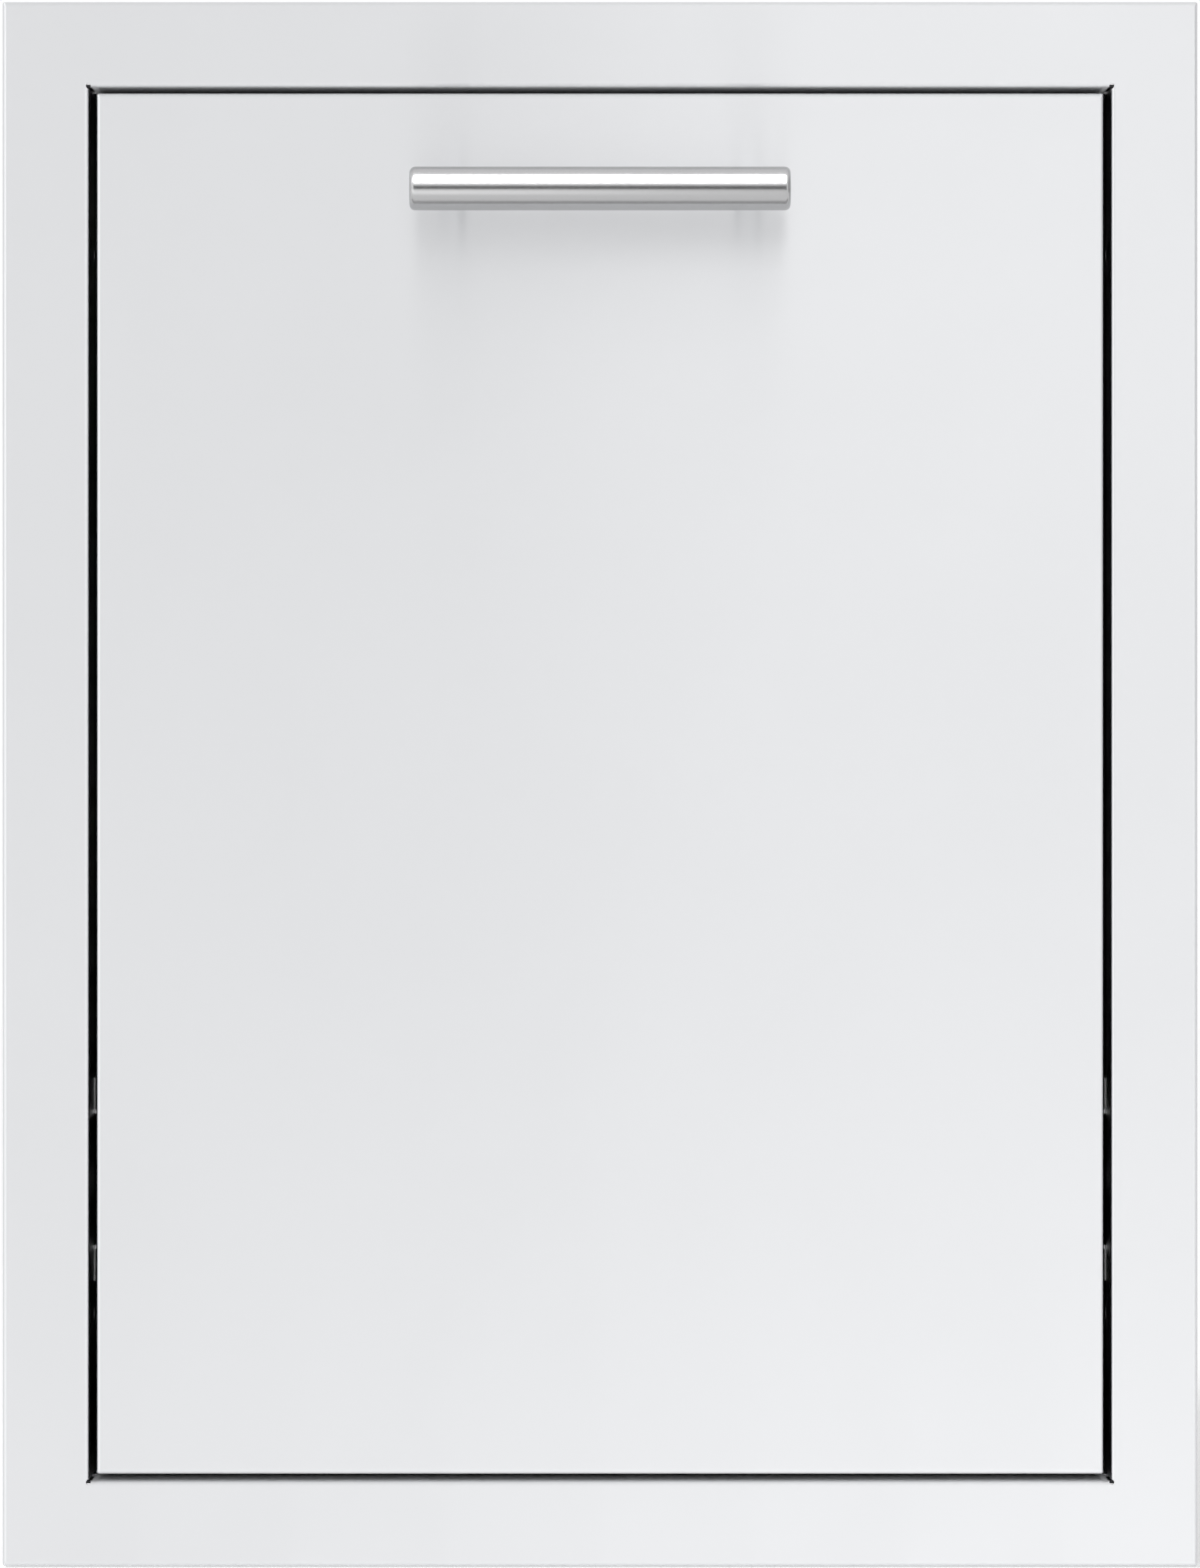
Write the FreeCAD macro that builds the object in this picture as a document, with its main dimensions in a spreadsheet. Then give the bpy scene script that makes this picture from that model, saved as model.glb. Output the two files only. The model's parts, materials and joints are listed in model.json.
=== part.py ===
"""Double trash drawer for an outdoor kitchen: a face frame with a sleeve cabinet behind it,
a full-extension drawer on ball-bearing slides and two lift-out bins.

Millimetres. +X is right, +Y goes into the island, +Z is up. The origin is the centre of the
island's cut-out, on the island's front face, where the frame's rear lip bears.
"""
import FreeCAD, Part
import math
import os
import Sketcher

Vector = FreeCAD.Vector
LEFT, RIGHT = -1, 1
SIDES = {LEFT: "left", RIGHT: "right"}

# Driving sizes
SIZES = {
    # Face frame
    "frame_width": 514.35,
    "frame_height": 673.1,
    "frame_stile": 37.4,
    "frame_rail": 36.7,
    "frame_return": 19.05,
    "frame_lip": 14,
    "frame_flange": 32,
    "face_sheet": 1.2,
    "bend_inside": 0.9,
    "corner_rounding": 1,
    "relief_radius": 1.05,
    "relief_reach": 0.4,
    # Folded sheet behind the front
    "fold_inside": 0.8,
    "fold_room": 0.5,
    # Sleeve cabinet
    "shell_lap": 6,
    "panel_sheet": 1,
    "panel_bend": 0.8,
    "panel_flange": 16,
    "panel_gap": 3,
    "mount_hole_radius": 2.75,
    "mount_first": 30,
    "mount_pitch": 90,
    "mount_drop": 70,
    # Slide brackets
    "bracket_depth": 8,
    "bracket_sheet": 1.5,
    "bracket_height": 60,
    "bracket_flange": 14,
    # Ball-bearing slides
    "slide_length": 558.8,
    "slide_height": 45,
    "slide_sheet": 1.3,
    "slide_setback": 2,
    "slide_rear_gap": 12,
    "slide_rise": 118,
    "slide_screw_inset": 40,
    "slide_bend": 1,
    "slot_step": 22,
    "slot_length": 6,
    "driver_hole_radius": 4.5,
    "ball_radius": 1.75,
    "ball_seat": 1.4,
    "ball_fit": 0.1,
    "cage_sheet": 0.7,
    "cage_gap": 0.6,
    "cage_margin": 15,
    "cage_end": 16,
    "outer_cage_inset": 1.5,
    "inner_cage_inset": 1.1,
    "cage_edge": 0.6,
    "lip_gap": 0.4,
    "bumper_length": 8,
    "bumper_height": 16,
    "bumper_gap": 0.3,
    "bumper_rounding": 1.5,
    # Slide release levers
    "lever_start": 238,
    "lever_length": 46,
    "lever_height": 8,
    "lever_thickness": 3,
    "lever_gap": 0.3,
    "lever_pin_radius": 1.5,
    "lever_pin_fit": 0.05,
    # Drawer front
    "gap_side": 3,
    "gap_top": 2.7,
    "gap_bottom": 3.05,
    "front_depth": 22,
    "liner_sheet": 0.9,
    "liner_flange": 12,
    "liner_fit": 0.3,
    "access_radius": 8,
    # Handle
    "handle_diameter": 18.6,
    "handle_length": 162,
    "handle_wall": 1.5,
    "handle_drop": 44,
    "handle_standoff": 37.5,
    "cap_height": 4,
    "cap_rounding": 2.5,
    "cap_plug": 8,
    "cap_fit": 0.1,
    "post_diameter": 12,
    "post_inset": 17,
    "post_fit": 0.05,
    "post_bore": 14,
    "backing_sheet": 2,
    "backing_overhang": 14,
    "backing_height": 30,
    # Drawer box
    "drawer_sheet": 1.2,
    "drawer_fit": 0.2,
    "drawer_end_gap": 10,
    "floor_gap": 10,
    "floor_upturn": 25,
    "wall_height": 190,
    "wall_flange": 18,
    "wall_hem": 12,
    "corner_gap": 2,
    "gusset_reach": 150,
    "gusset_tip": 30,
    "gusset_lap": 60,
    "gusset_drop": 105,
    "gusset_stiffener": 9,
    "divider_width": 16,
    "divider_height": 30,
    "divider_drop": 15,
    "divider_tab": 16,
    # Bins
    "bin_side_gap": 16,
    "bin_end_gap": 7,
    "bin_headroom": 134,
    "bin_wall": 2.2,
    "bin_floor": 2.8,
    "bin_draft": 2.5,
    "bin_corner": 45,
    "bin_edge_rounding": 6,
    "bin_floor_rounding": 4,
    "bin_collar": 70,
    "bin_step": 3,
    "bin_step_rounding": 1.2,
    "bin_rim_width": 9,
    "bin_rim_sheet": 2.4,
    "bin_rim_rounding": 1,
    "bin_skirt": 16,
    "grip_length": 110,
    "grip_reach": 11,
    "grip_corner": 7,
    "bin_foot_width": 14,
    "bin_foot_height": 1,
    # Fasteners
    "rivet_radius": 1.6,
    "rivet_head_radius": 3.2,
    "rivet_head_height": 1.1,
    "rivet_tail_radius": 2.3,
    "rivet_tail_height": 0.9,
    "rivet_inset": 40,
    "screw_radius": 1.9,
    "screw_head_radius": 3.6,
    "screw_head_height": 2,
    "screw_reach": 6,
    "handle_screw_radius": 2.5,
    "handle_screw_head_radius": 4.6,
    "handle_screw_head_height": 3,
    "handle_screw_grip": 11,
    "plug_overlap": 2,
    "plug_height": 1.2,
    "plug_depth": 4,
    "fastener_fit": 0.1,
}

# Places that follow from the driving sizes
PLACES = {
    "frame_front": "-Dims.frame_return",
    "flange_back": "Dims.frame_flange - Dims.frame_return",
    "opening_half_width": "Dims.frame_width / 2 - Dims.frame_stile",
    "opening_half_height": "Dims.frame_height / 2 - Dims.frame_rail",
    "bend_outside": "Dims.bend_inside + Dims.face_sheet",
    "bend_end": "Places.frame_front + Places.bend_outside",
    "relief_x": "Places.opening_half_width + Dims.relief_reach",
    "relief_z": "Places.opening_half_height + Dims.relief_reach",
    # Drawer front
    "front_half_width": "Places.opening_half_width - Dims.gap_side",
    "front_top": "Places.opening_half_height - Dims.gap_top",
    "front_bottom": "Dims.gap_bottom - Places.opening_half_height",
    "front_back": "Dims.front_depth - Dims.frame_return",
    "skin_back": "Dims.face_sheet - Dims.frame_return",
    "handle_level": "Places.front_top - Dims.handle_drop",
    "handle_axis": "Places.frame_front - Dims.handle_standoff",
    "post_x": "Dims.handle_length / 2 - Dims.post_inset",
    "handle_screw_hole": "Dims.handle_screw_radius + Dims.fastener_fit",
    # Slide cross-section: across from the bracket, and up from the slide's centre line
    "outer_cage_x": "Dims.slide_sheet + Dims.cage_gap",
    "middle_x": "Places.outer_cage_x + Dims.cage_sheet + Dims.cage_gap",
    "inner_cage_x": "Places.middle_x + Dims.slide_sheet + Dims.cage_gap",
    "inner_x": "Places.inner_cage_x + Dims.cage_sheet + Dims.cage_gap",
    "ball_hole": "Dims.ball_radius + Dims.ball_fit",
    "outer_ball_x": "Places.outer_cage_x + Dims.cage_sheet + Dims.outer_cage_inset + Dims.ball_radius",
    "inner_ball_x": "Places.inner_cage_x + Dims.cage_sheet + Dims.inner_cage_inset + Dims.ball_radius",
    "outer_leg_end": "Places.outer_ball_x + Places.ball_hole + Dims.cage_edge",
    "inner_leg_end": "Places.inner_ball_x + Places.ball_hole + Dims.cage_edge",
    "outer_flange_end": "Places.outer_leg_end + Dims.lip_gap + Dims.slide_sheet",
    "middle_flange_end": "Places.inner_ball_x + Places.ball_hole",
    "inner_web_x": "Places.inner_leg_end + Dims.lip_gap",
    "slide_thickness": "Places.inner_web_x + Dims.slide_sheet",
    "outer_top": "Dims.slide_height / 2",
    "outer_ball_z": "Places.outer_top - Dims.slide_sheet - Dims.ball_seat",
    "middle_top": "Places.outer_ball_z - Dims.ball_seat",
    "inner_ball_z": "Places.middle_top - Dims.slide_sheet - Dims.ball_seat",
    "inner_top": "Places.inner_ball_z - Dims.ball_seat",
    "outer_lip_end": "Places.middle_top + Dims.lip_gap",
    # Slide places
    "member_length": "Dims.slide_length - Dims.bumper_length - Dims.bumper_gap",
    "cage_start": "Dims.slide_length / 4 + Dims.cage_margin",
    "cage_length": "Dims.slide_length / 2 - Dims.bumper_length - 2 * Dims.cage_margin",
    "slide_front": "Places.front_back + Dims.slide_setback",
    "slide_back": "Places.slide_front + Dims.slide_length",
    # Sleeve cabinet
    "shell_half_width": "Places.opening_half_width + Dims.face_sheet",
    "shell_half_height": "Places.opening_half_height + Dims.face_sheet",
    "shell_front": "-Dims.shell_lap",
    "shell_back": "Places.slide_back + Dims.slide_rear_gap",
    "shell_outside": "Places.shell_half_width + Dims.panel_sheet",
    "shell_over": "Places.shell_half_height + Dims.panel_sheet",
    "panel_flange_start": "Places.flange_back + Dims.panel_gap",
    "panel_rivet_x": "Places.shell_half_width - Dims.panel_flange / 2",
    "rivet_hole": "Dims.rivet_radius + Dims.fastener_fit",
    "screw_hole": "Dims.screw_radius + Dims.fastener_fit",
    "mount_z": "Places.shell_half_height - Dims.mount_drop",
    "slide_face": "Places.shell_half_width - Dims.bracket_depth",
    "bracket_rivet": "(Dims.bracket_height + Dims.bracket_flange) / 2",
    # Drawer box
    "drawer_half_width": "Places.slide_face - Places.slide_thickness",
    "drawer_inside": "Places.drawer_half_width - Dims.drawer_sheet",
    "fold_notch": "Dims.drawer_sheet + Dims.fold_inside + Dims.fold_room",
    "drawer_plate": "Places.drawer_inside - Dims.fold_inside - Dims.fold_room",
    "drawer_rear": "Places.slide_back - Dims.drawer_end_gap",
    "drawer_bottom": "Dims.floor_gap - Places.opening_half_height",
    "floor_under": "Places.drawer_bottom + Dims.drawer_sheet",
    "floor_top": "Places.floor_under + Dims.drawer_sheet",
    "slide_level": "Places.drawer_bottom + Dims.slide_rise",
    "wall_top": "Places.drawer_bottom + Dims.wall_height",
    "back_top": "Places.wall_top - Dims.drawer_sheet - Dims.drawer_fit",
    "back_front": "Places.drawer_rear - 2 * Dims.drawer_sheet",
    "wall_flange_x": "Places.drawer_half_width - Dims.wall_flange / 2",
    "gusset_front": "Places.front_back + Places.fold_notch",
    "gusset_top": "Places.front_top - Dims.gusset_drop",
    "gusset_low": "Places.wall_top - Dims.gusset_lap",
    "gusset_back": "Places.front_back + Dims.gusset_reach",
    "gusset_foot": "Places.wall_top + Dims.corner_gap",
    "gusset_inside": "Places.drawer_inside - Dims.drawer_sheet",
    "floor_upturn_half": "Places.drawer_half_width - Dims.wall_flange - Dims.corner_gap",
    "bay_front": "Places.front_back + Dims.drawer_sheet",
    "bay_middle": "(Places.bay_front + Places.back_front) / 2",
    "divider_end": "Places.drawer_inside - Dims.drawer_fit",
    "divider_top": "Places.wall_top - Dims.divider_drop",
    "divider_low": "Places.divider_top - Dims.divider_height",
    "divider_rivet": "Places.divider_low - Dims.divider_tab / 2",
    # Bins
    "bin_bay": "Places.bay_middle - Dims.divider_width / 2 - Places.bay_front",
    "bin_half_depth": "Places.bin_bay / 2 - Dims.bin_end_gap",
    "bin_half_width": "Places.drawer_inside - Dims.bin_side_gap",
    "bin_height": "Places.opening_half_height - Dims.bin_headroom - Places.floor_top",
    "tub_half_depth": "Places.bin_half_depth - Dims.bin_rim_width",
    "tub_half_width": "Places.bin_half_width - Dims.bin_rim_width",
    "bin_shoulder": "Places.bin_height - Dims.bin_collar",
    "shoulder_inset": "Dims.bin_collar * tan(Dims.bin_draft) + Dims.bin_step",
    "foot_inset": "Places.shoulder_inset + Places.bin_shoulder * tan(Dims.bin_draft) + Dims.bin_foot_width",
    "front_bin_y": "Places.bay_front + Places.bin_bay / 2",
    "rear_bin_y": "Places.back_front - Places.bin_bay / 2",
}

doc = FreeCAD.newDocument("double_trash_drawer")
pieces = []


# Sheets and numbers

def fill_sheet(name, cells):
    """Write one named cell per row."""
    sheet = doc.addObject("Spreadsheet::Sheet", name)
    for row, (alias, content) in enumerate(cells, 1):
        sheet.set(f"A{row}", alias.replace("_", " "))
        sheet.set(f"B{row}", content)
        sheet.setAlias(f"B{row}", alias)
    return sheet


def number(text):
    """The present value of an expression."""
    return float(places.evalExpression(text))


def spread(first, last, count):
    """Expressions of evenly spaced places from first to last."""
    return [f"({first}) + (({last}) - ({first})) * {i} / {count - 1}" for i in range(count)]


# Sketch outlines: each returns a function that draws it

def dimension(sketch, kind, item, value):
    """Tie an item's first point to the sketch origin, or set its radius, by an expression."""
    if kind == "Radius":
        index = sketch.addConstraint(Sketcher.Constraint(kind, item, number(value)))
    else:
        point = 3 if kind.endswith("Centre") else 1
        kind = kind.replace("Centre", "")
        index = sketch.addConstraint(Sketcher.Constraint(kind, -1, 1, item, point, number(value)))
    sketch.setExpression(f"Constraints[{index}]", value)


def polygon(corners):
    """A closed outline through corners given as pairs of expressions."""
    def draw(sketch):
        points = [Vector(number(x), number(y), 0) for x, y in corners]
        count = len(points)
        base = sketch.GeometryCount
        for i in range(count):
            sketch.addGeometry(Part.LineSegment(points[i], points[(i + 1) % count]), False)
        for i in range(count):
            after = base + (i + 1) % count
            sketch.addConstraint(Sketcher.Constraint("Coincident", base + i, 2, after, 1))
        for i, (x, y) in enumerate(corners):
            dimension(sketch, "DistanceX", base + i, x)
            dimension(sketch, "DistanceY", base + i, y)
    return draw


def mirrored(corners):
    """The corners of a right-hand half outline, with their mirror images on the left."""
    return corners + [(f"-({x})", y) for x, y in reversed(corners)]


def rectangle(left, right, low, high):
    return polygon([(left, low), (right, low), (right, high), (left, high)])


def centred(half_width, half_height):
    return rectangle(f"-({half_width})", half_width, f"-({half_height})", half_height)


def corners_of(half_width, low, high):
    """The four corners of an upright rectangle, half of its width each way."""
    return [(f"{side} * ({half_width})", level) for side in SIDES for level in (low, high)]


def circle(x, y, radius):
    def draw(sketch):
        shape = Part.Circle(Vector(number(x), number(y), 0), Vector(0, 0, 1), number(radius))
        item = sketch.addGeometry(shape, False)
        dimension(sketch, "Radius", item, radius)
        dimension(sketch, "DistanceXCentre", item, x)
        dimension(sketch, "DistanceYCentre", item, y)
    return draw


def rounded(half_width, half_height, radius):
    """A rectangle about the sketch origin with rounded corners."""
    def draw(sketch):
        wide, high, turn = number(half_width), number(half_height), number(radius)
        base = sketch.GeometryCount
        ends = [(turn - wide, -high, wide - turn, -high), (wide, turn - high, wide, high - turn),
                (wide - turn, high, turn - wide, high), (-wide, high - turn, -wide, turn - high)]
        for x0, y0, x1, y1 in ends:
            sketch.addGeometry(Part.LineSegment(Vector(x0, y0, 0), Vector(x1, y1, 0)), False)
        for i, (x, y) in enumerate([(1, -1), (1, 1), (-1, 1), (-1, -1)]):
            middle = Vector(x * (wide - turn), y * (high - turn), 0)
            arc = Part.ArcOfCircle(Part.Circle(middle, Vector(0, 0, 1), turn),
                                   (i - 1) * math.pi / 2, i * math.pi / 2)
            sketch.addGeometry(arc, False)
        for i, kind in enumerate(["Horizontal", "Vertical", "Horizontal", "Vertical"]):
            sketch.addConstraint(Sketcher.Constraint(kind, base + i))
            sketch.addConstraint(Sketcher.Constraint("Tangent", base + i, 2, base + 4 + i, 1))
            after = base + (i + 1) % 4
            sketch.addConstraint(Sketcher.Constraint("Tangent", base + 4 + i, 2, after, 1))
            dimension(sketch, "Radius", base + 4 + i, radius)
        dimension(sketch, "DistanceY", base, f"-({half_height})")
        dimension(sketch, "DistanceX", base + 1, half_width)
        dimension(sketch, "DistanceY", base + 2, half_height)
        dimension(sketch, "DistanceX", base + 3, f"-({half_width})")
    return draw


def slot(x, y, length, radius):
    """A round-ended slot along the sketch's first axis; length is between the ends' centres."""
    ends = [f"({x}) + {way} * {length} / 2" for way in (1, -1)]

    def draw(sketch):
        base = sketch.GeometryCount
        level, turn = number(y), number(radius)
        right, left = [number(end) for end in ends]
        for middle, start in ((right, -1), (left, 1)):
            ring = Part.Circle(Vector(middle, level, 0), Vector(0, 0, 1), turn)
            arc = Part.ArcOfCircle(ring, start * math.pi / 2, (start + 2) * math.pi / 2)
            sketch.addGeometry(arc, False)
        for start, end, height in ((right, left, level + turn), (left, right, level - turn)):
            sketch.addGeometry(Part.LineSegment(Vector(start, height, 0), Vector(end, height, 0)), False)
        for item, after in ((0, 2), (2, 1), (1, 3), (3, 0)):
            sketch.addConstraint(Sketcher.Constraint("Tangent", base + item, 2, base + after, 1))
        for item, end in enumerate(ends):
            dimension(sketch, "Radius", base + item, radius)
            dimension(sketch, "DistanceXCentre", base + item, end)
            dimension(sketch, "DistanceYCentre", base + item, y)
    return draw


# Solid features

PLANES = {"XY": 1, "XZ": -1, "YZ": 1}


def new_body(label):
    body = doc.addObject("PartDesign::Body", label)
    body.Label = label
    pieces.append(body)
    return body


def origin_feature(body, role):
    return [f for f in body.Origin.OriginFeatures if f.Role == role][0]


def new_sketch(body, plane, level, outlines):
    """Outlines on one of the body's own planes, moved to a level along the axis across it."""
    sketch = body.newObject("Sketcher::SketchObject", "outline")
    sketch.AttachmentSupport = [(origin_feature(body, f"{plane}_Plane"), "")]
    sketch.MapMode = "FlatFace"
    sketch.setExpression("AttachmentOffset.Base.z", f"{PLANES[plane]} * ({level})")
    for draw in outlines:
        draw(sketch)
    return sketch


def settle(body, before, grows):
    """Recompute, and stop where a feature has left the body as it was."""
    doc.recompute()
    change = body.Shape.Volume - before
    if not (change > 1e-6 if grows else change < -1e-6):
        raise RuntimeError(f"{body.Label}: {body.Tip.Label} changes nothing")


def volume_of(body):
    return body.Shape.Volume if body.Tip else 0.0


def extrude(body, plane, level, length, toward, *outlines, draft=None):
    """Add outlines padded from a level along +axis (toward 1) or -axis (toward -1)."""
    before = volume_of(body)
    sketch = new_sketch(body, plane, level, outlines)
    pad = body.newObject("PartDesign::Pad", "pad")
    pad.Profile = sketch
    pad.Reversed = toward != PLANES[plane]
    pad.setExpression("Length", length)
    if draft:
        pad.setExpression("TaperAngle", f"-({draft})")
    settle(body, before, True)


def cut(body, plane, level, length, toward, *outlines, draft=None):
    """Remove outlines from a level along +axis (toward 1) or -axis (toward -1)."""
    before = volume_of(body)
    sketch = new_sketch(body, plane, level, outlines)
    pocket = body.newObject("PartDesign::Pocket", "pocket")
    pocket.Profile = sketch
    pocket.Reversed = toward == PLANES[plane]
    pocket.setExpression("Length", length)
    if draft:
        pocket.setExpression("TaperAngle", f"-({draft})")
    settle(body, before, False)


def fillet(body, radius, chosen):
    """Round the edges that the chosen test picks."""
    base = body.Tip
    names = [f"Edge{i}" for i, edge in enumerate(base.Shape.Edges, 1) if chosen(edge.BoundBox)]
    if not names:
        raise RuntimeError(f"{body.Label}: no edge to round")
    feature = body.newObject("PartDesign::Fillet", "fillet")
    feature.Base = (base, names)
    feature.setExpression("Radius", radius)
    doc.recompute()


def repeat(body, axis, length, count):
    """Repeat the last feature along an axis of the body."""
    before = body.Shape.Volume
    feature = body.Tip
    pattern = body.newObject("PartDesign::LinearPattern", "row")
    pattern.Originals = [feature]
    pattern.Direction = (origin_feature(body, f"{axis}_Axis"), [""])
    pattern.setExpression("Length", length)
    pattern.Occurrences = count
    body.Tip = pattern
    settle(body, before, False)


def place_body(body, x, y, z):
    for axis, value in zip("xyz", (x, y, z)):
        body.setExpression(f"Placement.Base.{axis}", value)


def on_level(axis, level):
    """A test for edges that lie in the plane at a level of an axis."""
    value = number(level)

    def chosen(box):
        low = getattr(box, f"{axis}Min")
        high = getattr(box, f"{axis}Max")
        return abs(low - value) < 1e-3 and abs(high - value) < 1e-3
    return chosen


def running(axis, *spots):
    """A test for edges parallel to an axis, through one of the spots on the other two axes."""
    others = [name for name in "XYZ" if name != axis]
    wanted = [(number(first), number(second)) for first, second in spots]

    def chosen(box):
        middle = [(getattr(box, f"{name}Min") + getattr(box, f"{name}Max")) / 2 for name in others]
        straight = all(getattr(box, f"{name}Length") < 1e-3 for name in others)
        return straight and any(math.dist(middle, spot) < 1e-3 for spot in wanted)
    return chosen


def fold(body, axis, sheet, *bends):
    """Round folded corners along an axis; each bend is an outer and an inner corner."""
    outer, inner = zip(*bends)
    fillet(body, f"Dims.fold_inside + {sheet}", running(axis, *outer))
    fillet(body, "Dims.fold_inside", running(axis, *inner))


# Fasteners: turned solids in groups

def turned(points, head_height=0):
    """Revolve a profile of radius and height pairs; a ball-shaped dome joins its last point to the axis."""
    corners = [Vector(radius, 0, height) for radius, height in points]
    edges = [Part.LineSegment(a, b).toShape() for a, b in zip(corners, corners[1:])]
    last = corners[-1]
    top = Vector(0, 0, last.z + head_height)
    if head_height:
        ball = (last.x ** 2 + head_height ** 2) / (2 * head_height)
        turn = math.asin(last.x / ball) / 2
        crown = Vector(ball * math.sin(turn), 0, top.z - ball + ball * math.cos(turn))
        edges.append(Part.Arc(last, crown, top).toShape())
        last = top
    edges.append(Part.LineSegment(last, corners[0]).toShape())
    face = Part.Face(Part.Wire(edges))
    return face.revolve(Vector(0, 0, 0), Vector(0, 0, 1), 360)


def rivet(grip):
    """A blind rivet: the underside of its head is at height 0 and its shank points down."""
    shank = number("Dims.rivet_radius")
    tail = number("Dims.rivet_tail_radius")
    end = -number(grip) - number("Dims.rivet_tail_height")
    profile = [(0, end), (tail, end), (tail, -number(grip)), (shank, -number(grip)), (shank, 0),
               (number("Dims.rivet_head_radius"), 0)]
    return turned(profile, number("Dims.rivet_head_height"))


def round_head(radius, length, head_radius, head_height):
    """A round-headed screw: the underside of its head is at height 0."""
    end = -number(length)
    shank = number(radius)
    profile = [(0, end), (shank, end), (shank, 0), (number(head_radius), 0)]
    return turned(profile, number(head_height))


def flat_head(radius, length, head_height):
    """A countersunk screw: the top of its head is at height 0."""
    end = -number(length)
    shank = number(radius)
    sink = number(head_height)
    return turned([(0, end), (shank, end), (shank, -sink), (shank + sink, 0), (0, 0)])


def placed(shape, x, y, z, direction):
    """A copy whose height axis points along the direction."""
    copy = shape.copy()
    turn = FreeCAD.Rotation(Vector(0, 0, 1), Vector(*direction))
    copy.Placement = FreeCAD.Placement(Vector(number(x), number(y), number(z)), turn)
    return copy


def group(label, shapes):
    feature = doc.addObject("Part::Feature", label)
    feature.Label = label
    feature.Shape = Part.makeCompound(shapes)
    pieces.append(feature)


# Rows of fasteners, shared by the holes and what goes through them

def panel_rows():
    return spread("Places.panel_flange_start + Dims.rivet_inset",
                  "Places.shell_back - Dims.rivet_inset", 4)


def back_rows():
    end = "Places.shell_half_height - Dims.panel_flange - Dims.rivet_inset"
    return spread(f"-({end})", end, 4)


def bracket_rows():
    return spread("Places.panel_flange_start + Dims.rivet_inset / 2",
                  "Places.slide_back - Dims.rivet_inset / 2", 3)


def outer_screw_rows():
    return spread("Dims.slide_screw_inset", "Dims.slide_length - Dims.slide_screw_inset", 4)


def inner_screw_rows():
    return spread("Dims.slide_screw_inset", "Places.member_length - Dims.slide_screw_inset", 4)


def floor_rows():
    return spread("Places.front_back + Dims.rivet_inset", "Places.drawer_rear - Dims.rivet_inset", 4)


def drawer_back_rows():
    return spread("Places.floor_top + Dims.rivet_inset / 2", "Places.back_top - Dims.rivet_inset", 3)


def wall_front_rows():
    return spread("Places.floor_top + Dims.rivet_inset / 2", "Places.wall_top - Dims.rivet_inset", 3)


def gusset_front_rows():
    return spread("Places.gusset_foot + Dims.rivet_inset", "Places.gusset_top - Dims.rivet_inset / 2", 3)


def gusset_rows():
    return spread("Places.front_back + Dims.rivet_inset / 2",
                  "Places.gusset_back - Dims.rivet_inset / 2", 3)


def floor_front_rows():
    end = "Places.floor_upturn_half - Dims.rivet_inset / 2"
    return spread(f"-({end})", end, 3)


GUSSET_RIVET_Z = "Places.wall_top - Dims.gusset_lap / 2"
FLOOR_SCREW_Z = "Places.floor_top + Dims.floor_upturn / 2"


# Cabinet

def build_face_frame():
    body = new_body("face_frame")
    inner_w = "Dims.frame_width / 2 - Dims.face_sheet"
    inner_h = "Dims.frame_height / 2 - Dims.face_sheet"
    outside = centred("Dims.frame_width / 2", "Dims.frame_height / 2")
    hollow = centred(inner_w, inner_h)
    opening = centred("Places.opening_half_width", "Places.opening_half_height")
    extrude(body, "XZ", "Places.frame_front", "Dims.frame_return", 1, outside)
    fillet(body, "Places.bend_outside", on_level("Y", "Places.frame_front"))
    cut(body, "XZ", "0", "Dims.frame_return - Dims.face_sheet", -1, hollow)
    fillet(body, "Dims.bend_inside", on_level("Y", "Places.skin_back"))
    lip = centred(f"{inner_w} - Dims.frame_lip", f"{inner_h} - Dims.frame_lip")
    extrude(body, "XZ", "0", "Dims.face_sheet", -1, outside, lip)
    cut(body, "XZ", "Places.frame_front", "Dims.face_sheet", 1, opening)
    flange = centred("Places.shell_half_width", "Places.shell_half_height")
    extrude(body, "XZ", "Places.frame_front", "Dims.frame_flange", 1, flange, opening)
    half_w = number("Places.opening_half_width")
    half_h = number("Places.opening_half_height")
    front = on_level("Y", "Places.frame_front")

    def opening_edge(box):
        return front(box) and box.XMax < half_w + 1e-3 and box.ZMax < half_h + 1e-3
    fillet(body, "Places.bend_outside", opening_edge)
    back = on_level("Y", "Places.skin_back")
    shell_w = number("Places.shell_half_width")
    shell_h = number("Places.shell_half_height")

    def flange_edge(box):
        return back(box) and box.XMax < shell_w + 1e-3 and box.ZMax < shell_h + 1e-3
    fillet(body, "Dims.bend_inside", flange_edge)
    cut_corner_reliefs(body)
    half = "Dims.frame_height / 2"
    fillet(body, "Dims.corner_rounding", running("Y", *corners_of("Dims.frame_width / 2", f"-{half}", half)))


def cut_corner_reliefs(body):
    """A hole at each corner of the opening, with the flange open behind it, so that the sheet folds."""
    holes = [circle(x, z, "Dims.relief_radius")
             for x, z in corners_of("Places.relief_x", "-Places.relief_z", "Places.relief_z")]
    cut(body, "XZ", "Places.frame_front", "Places.bend_outside", 1, *holes)
    near_x = "Places.opening_half_width - Dims.relief_radius"
    near_z = "Places.opening_half_height - Dims.relief_radius"
    gaps = [rectangle(f"{x} * ({near_x})", f"{x} * Places.shell_half_width",
                      f"{z} * ({near_z})", f"{z} * Places.shell_half_height")
            for x in SIDES for z in (-1, 1)]
    cut(body, "XZ", "Places.bend_end", "Dims.frame_flange - Places.bend_outside", 1, *gaps)


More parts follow.
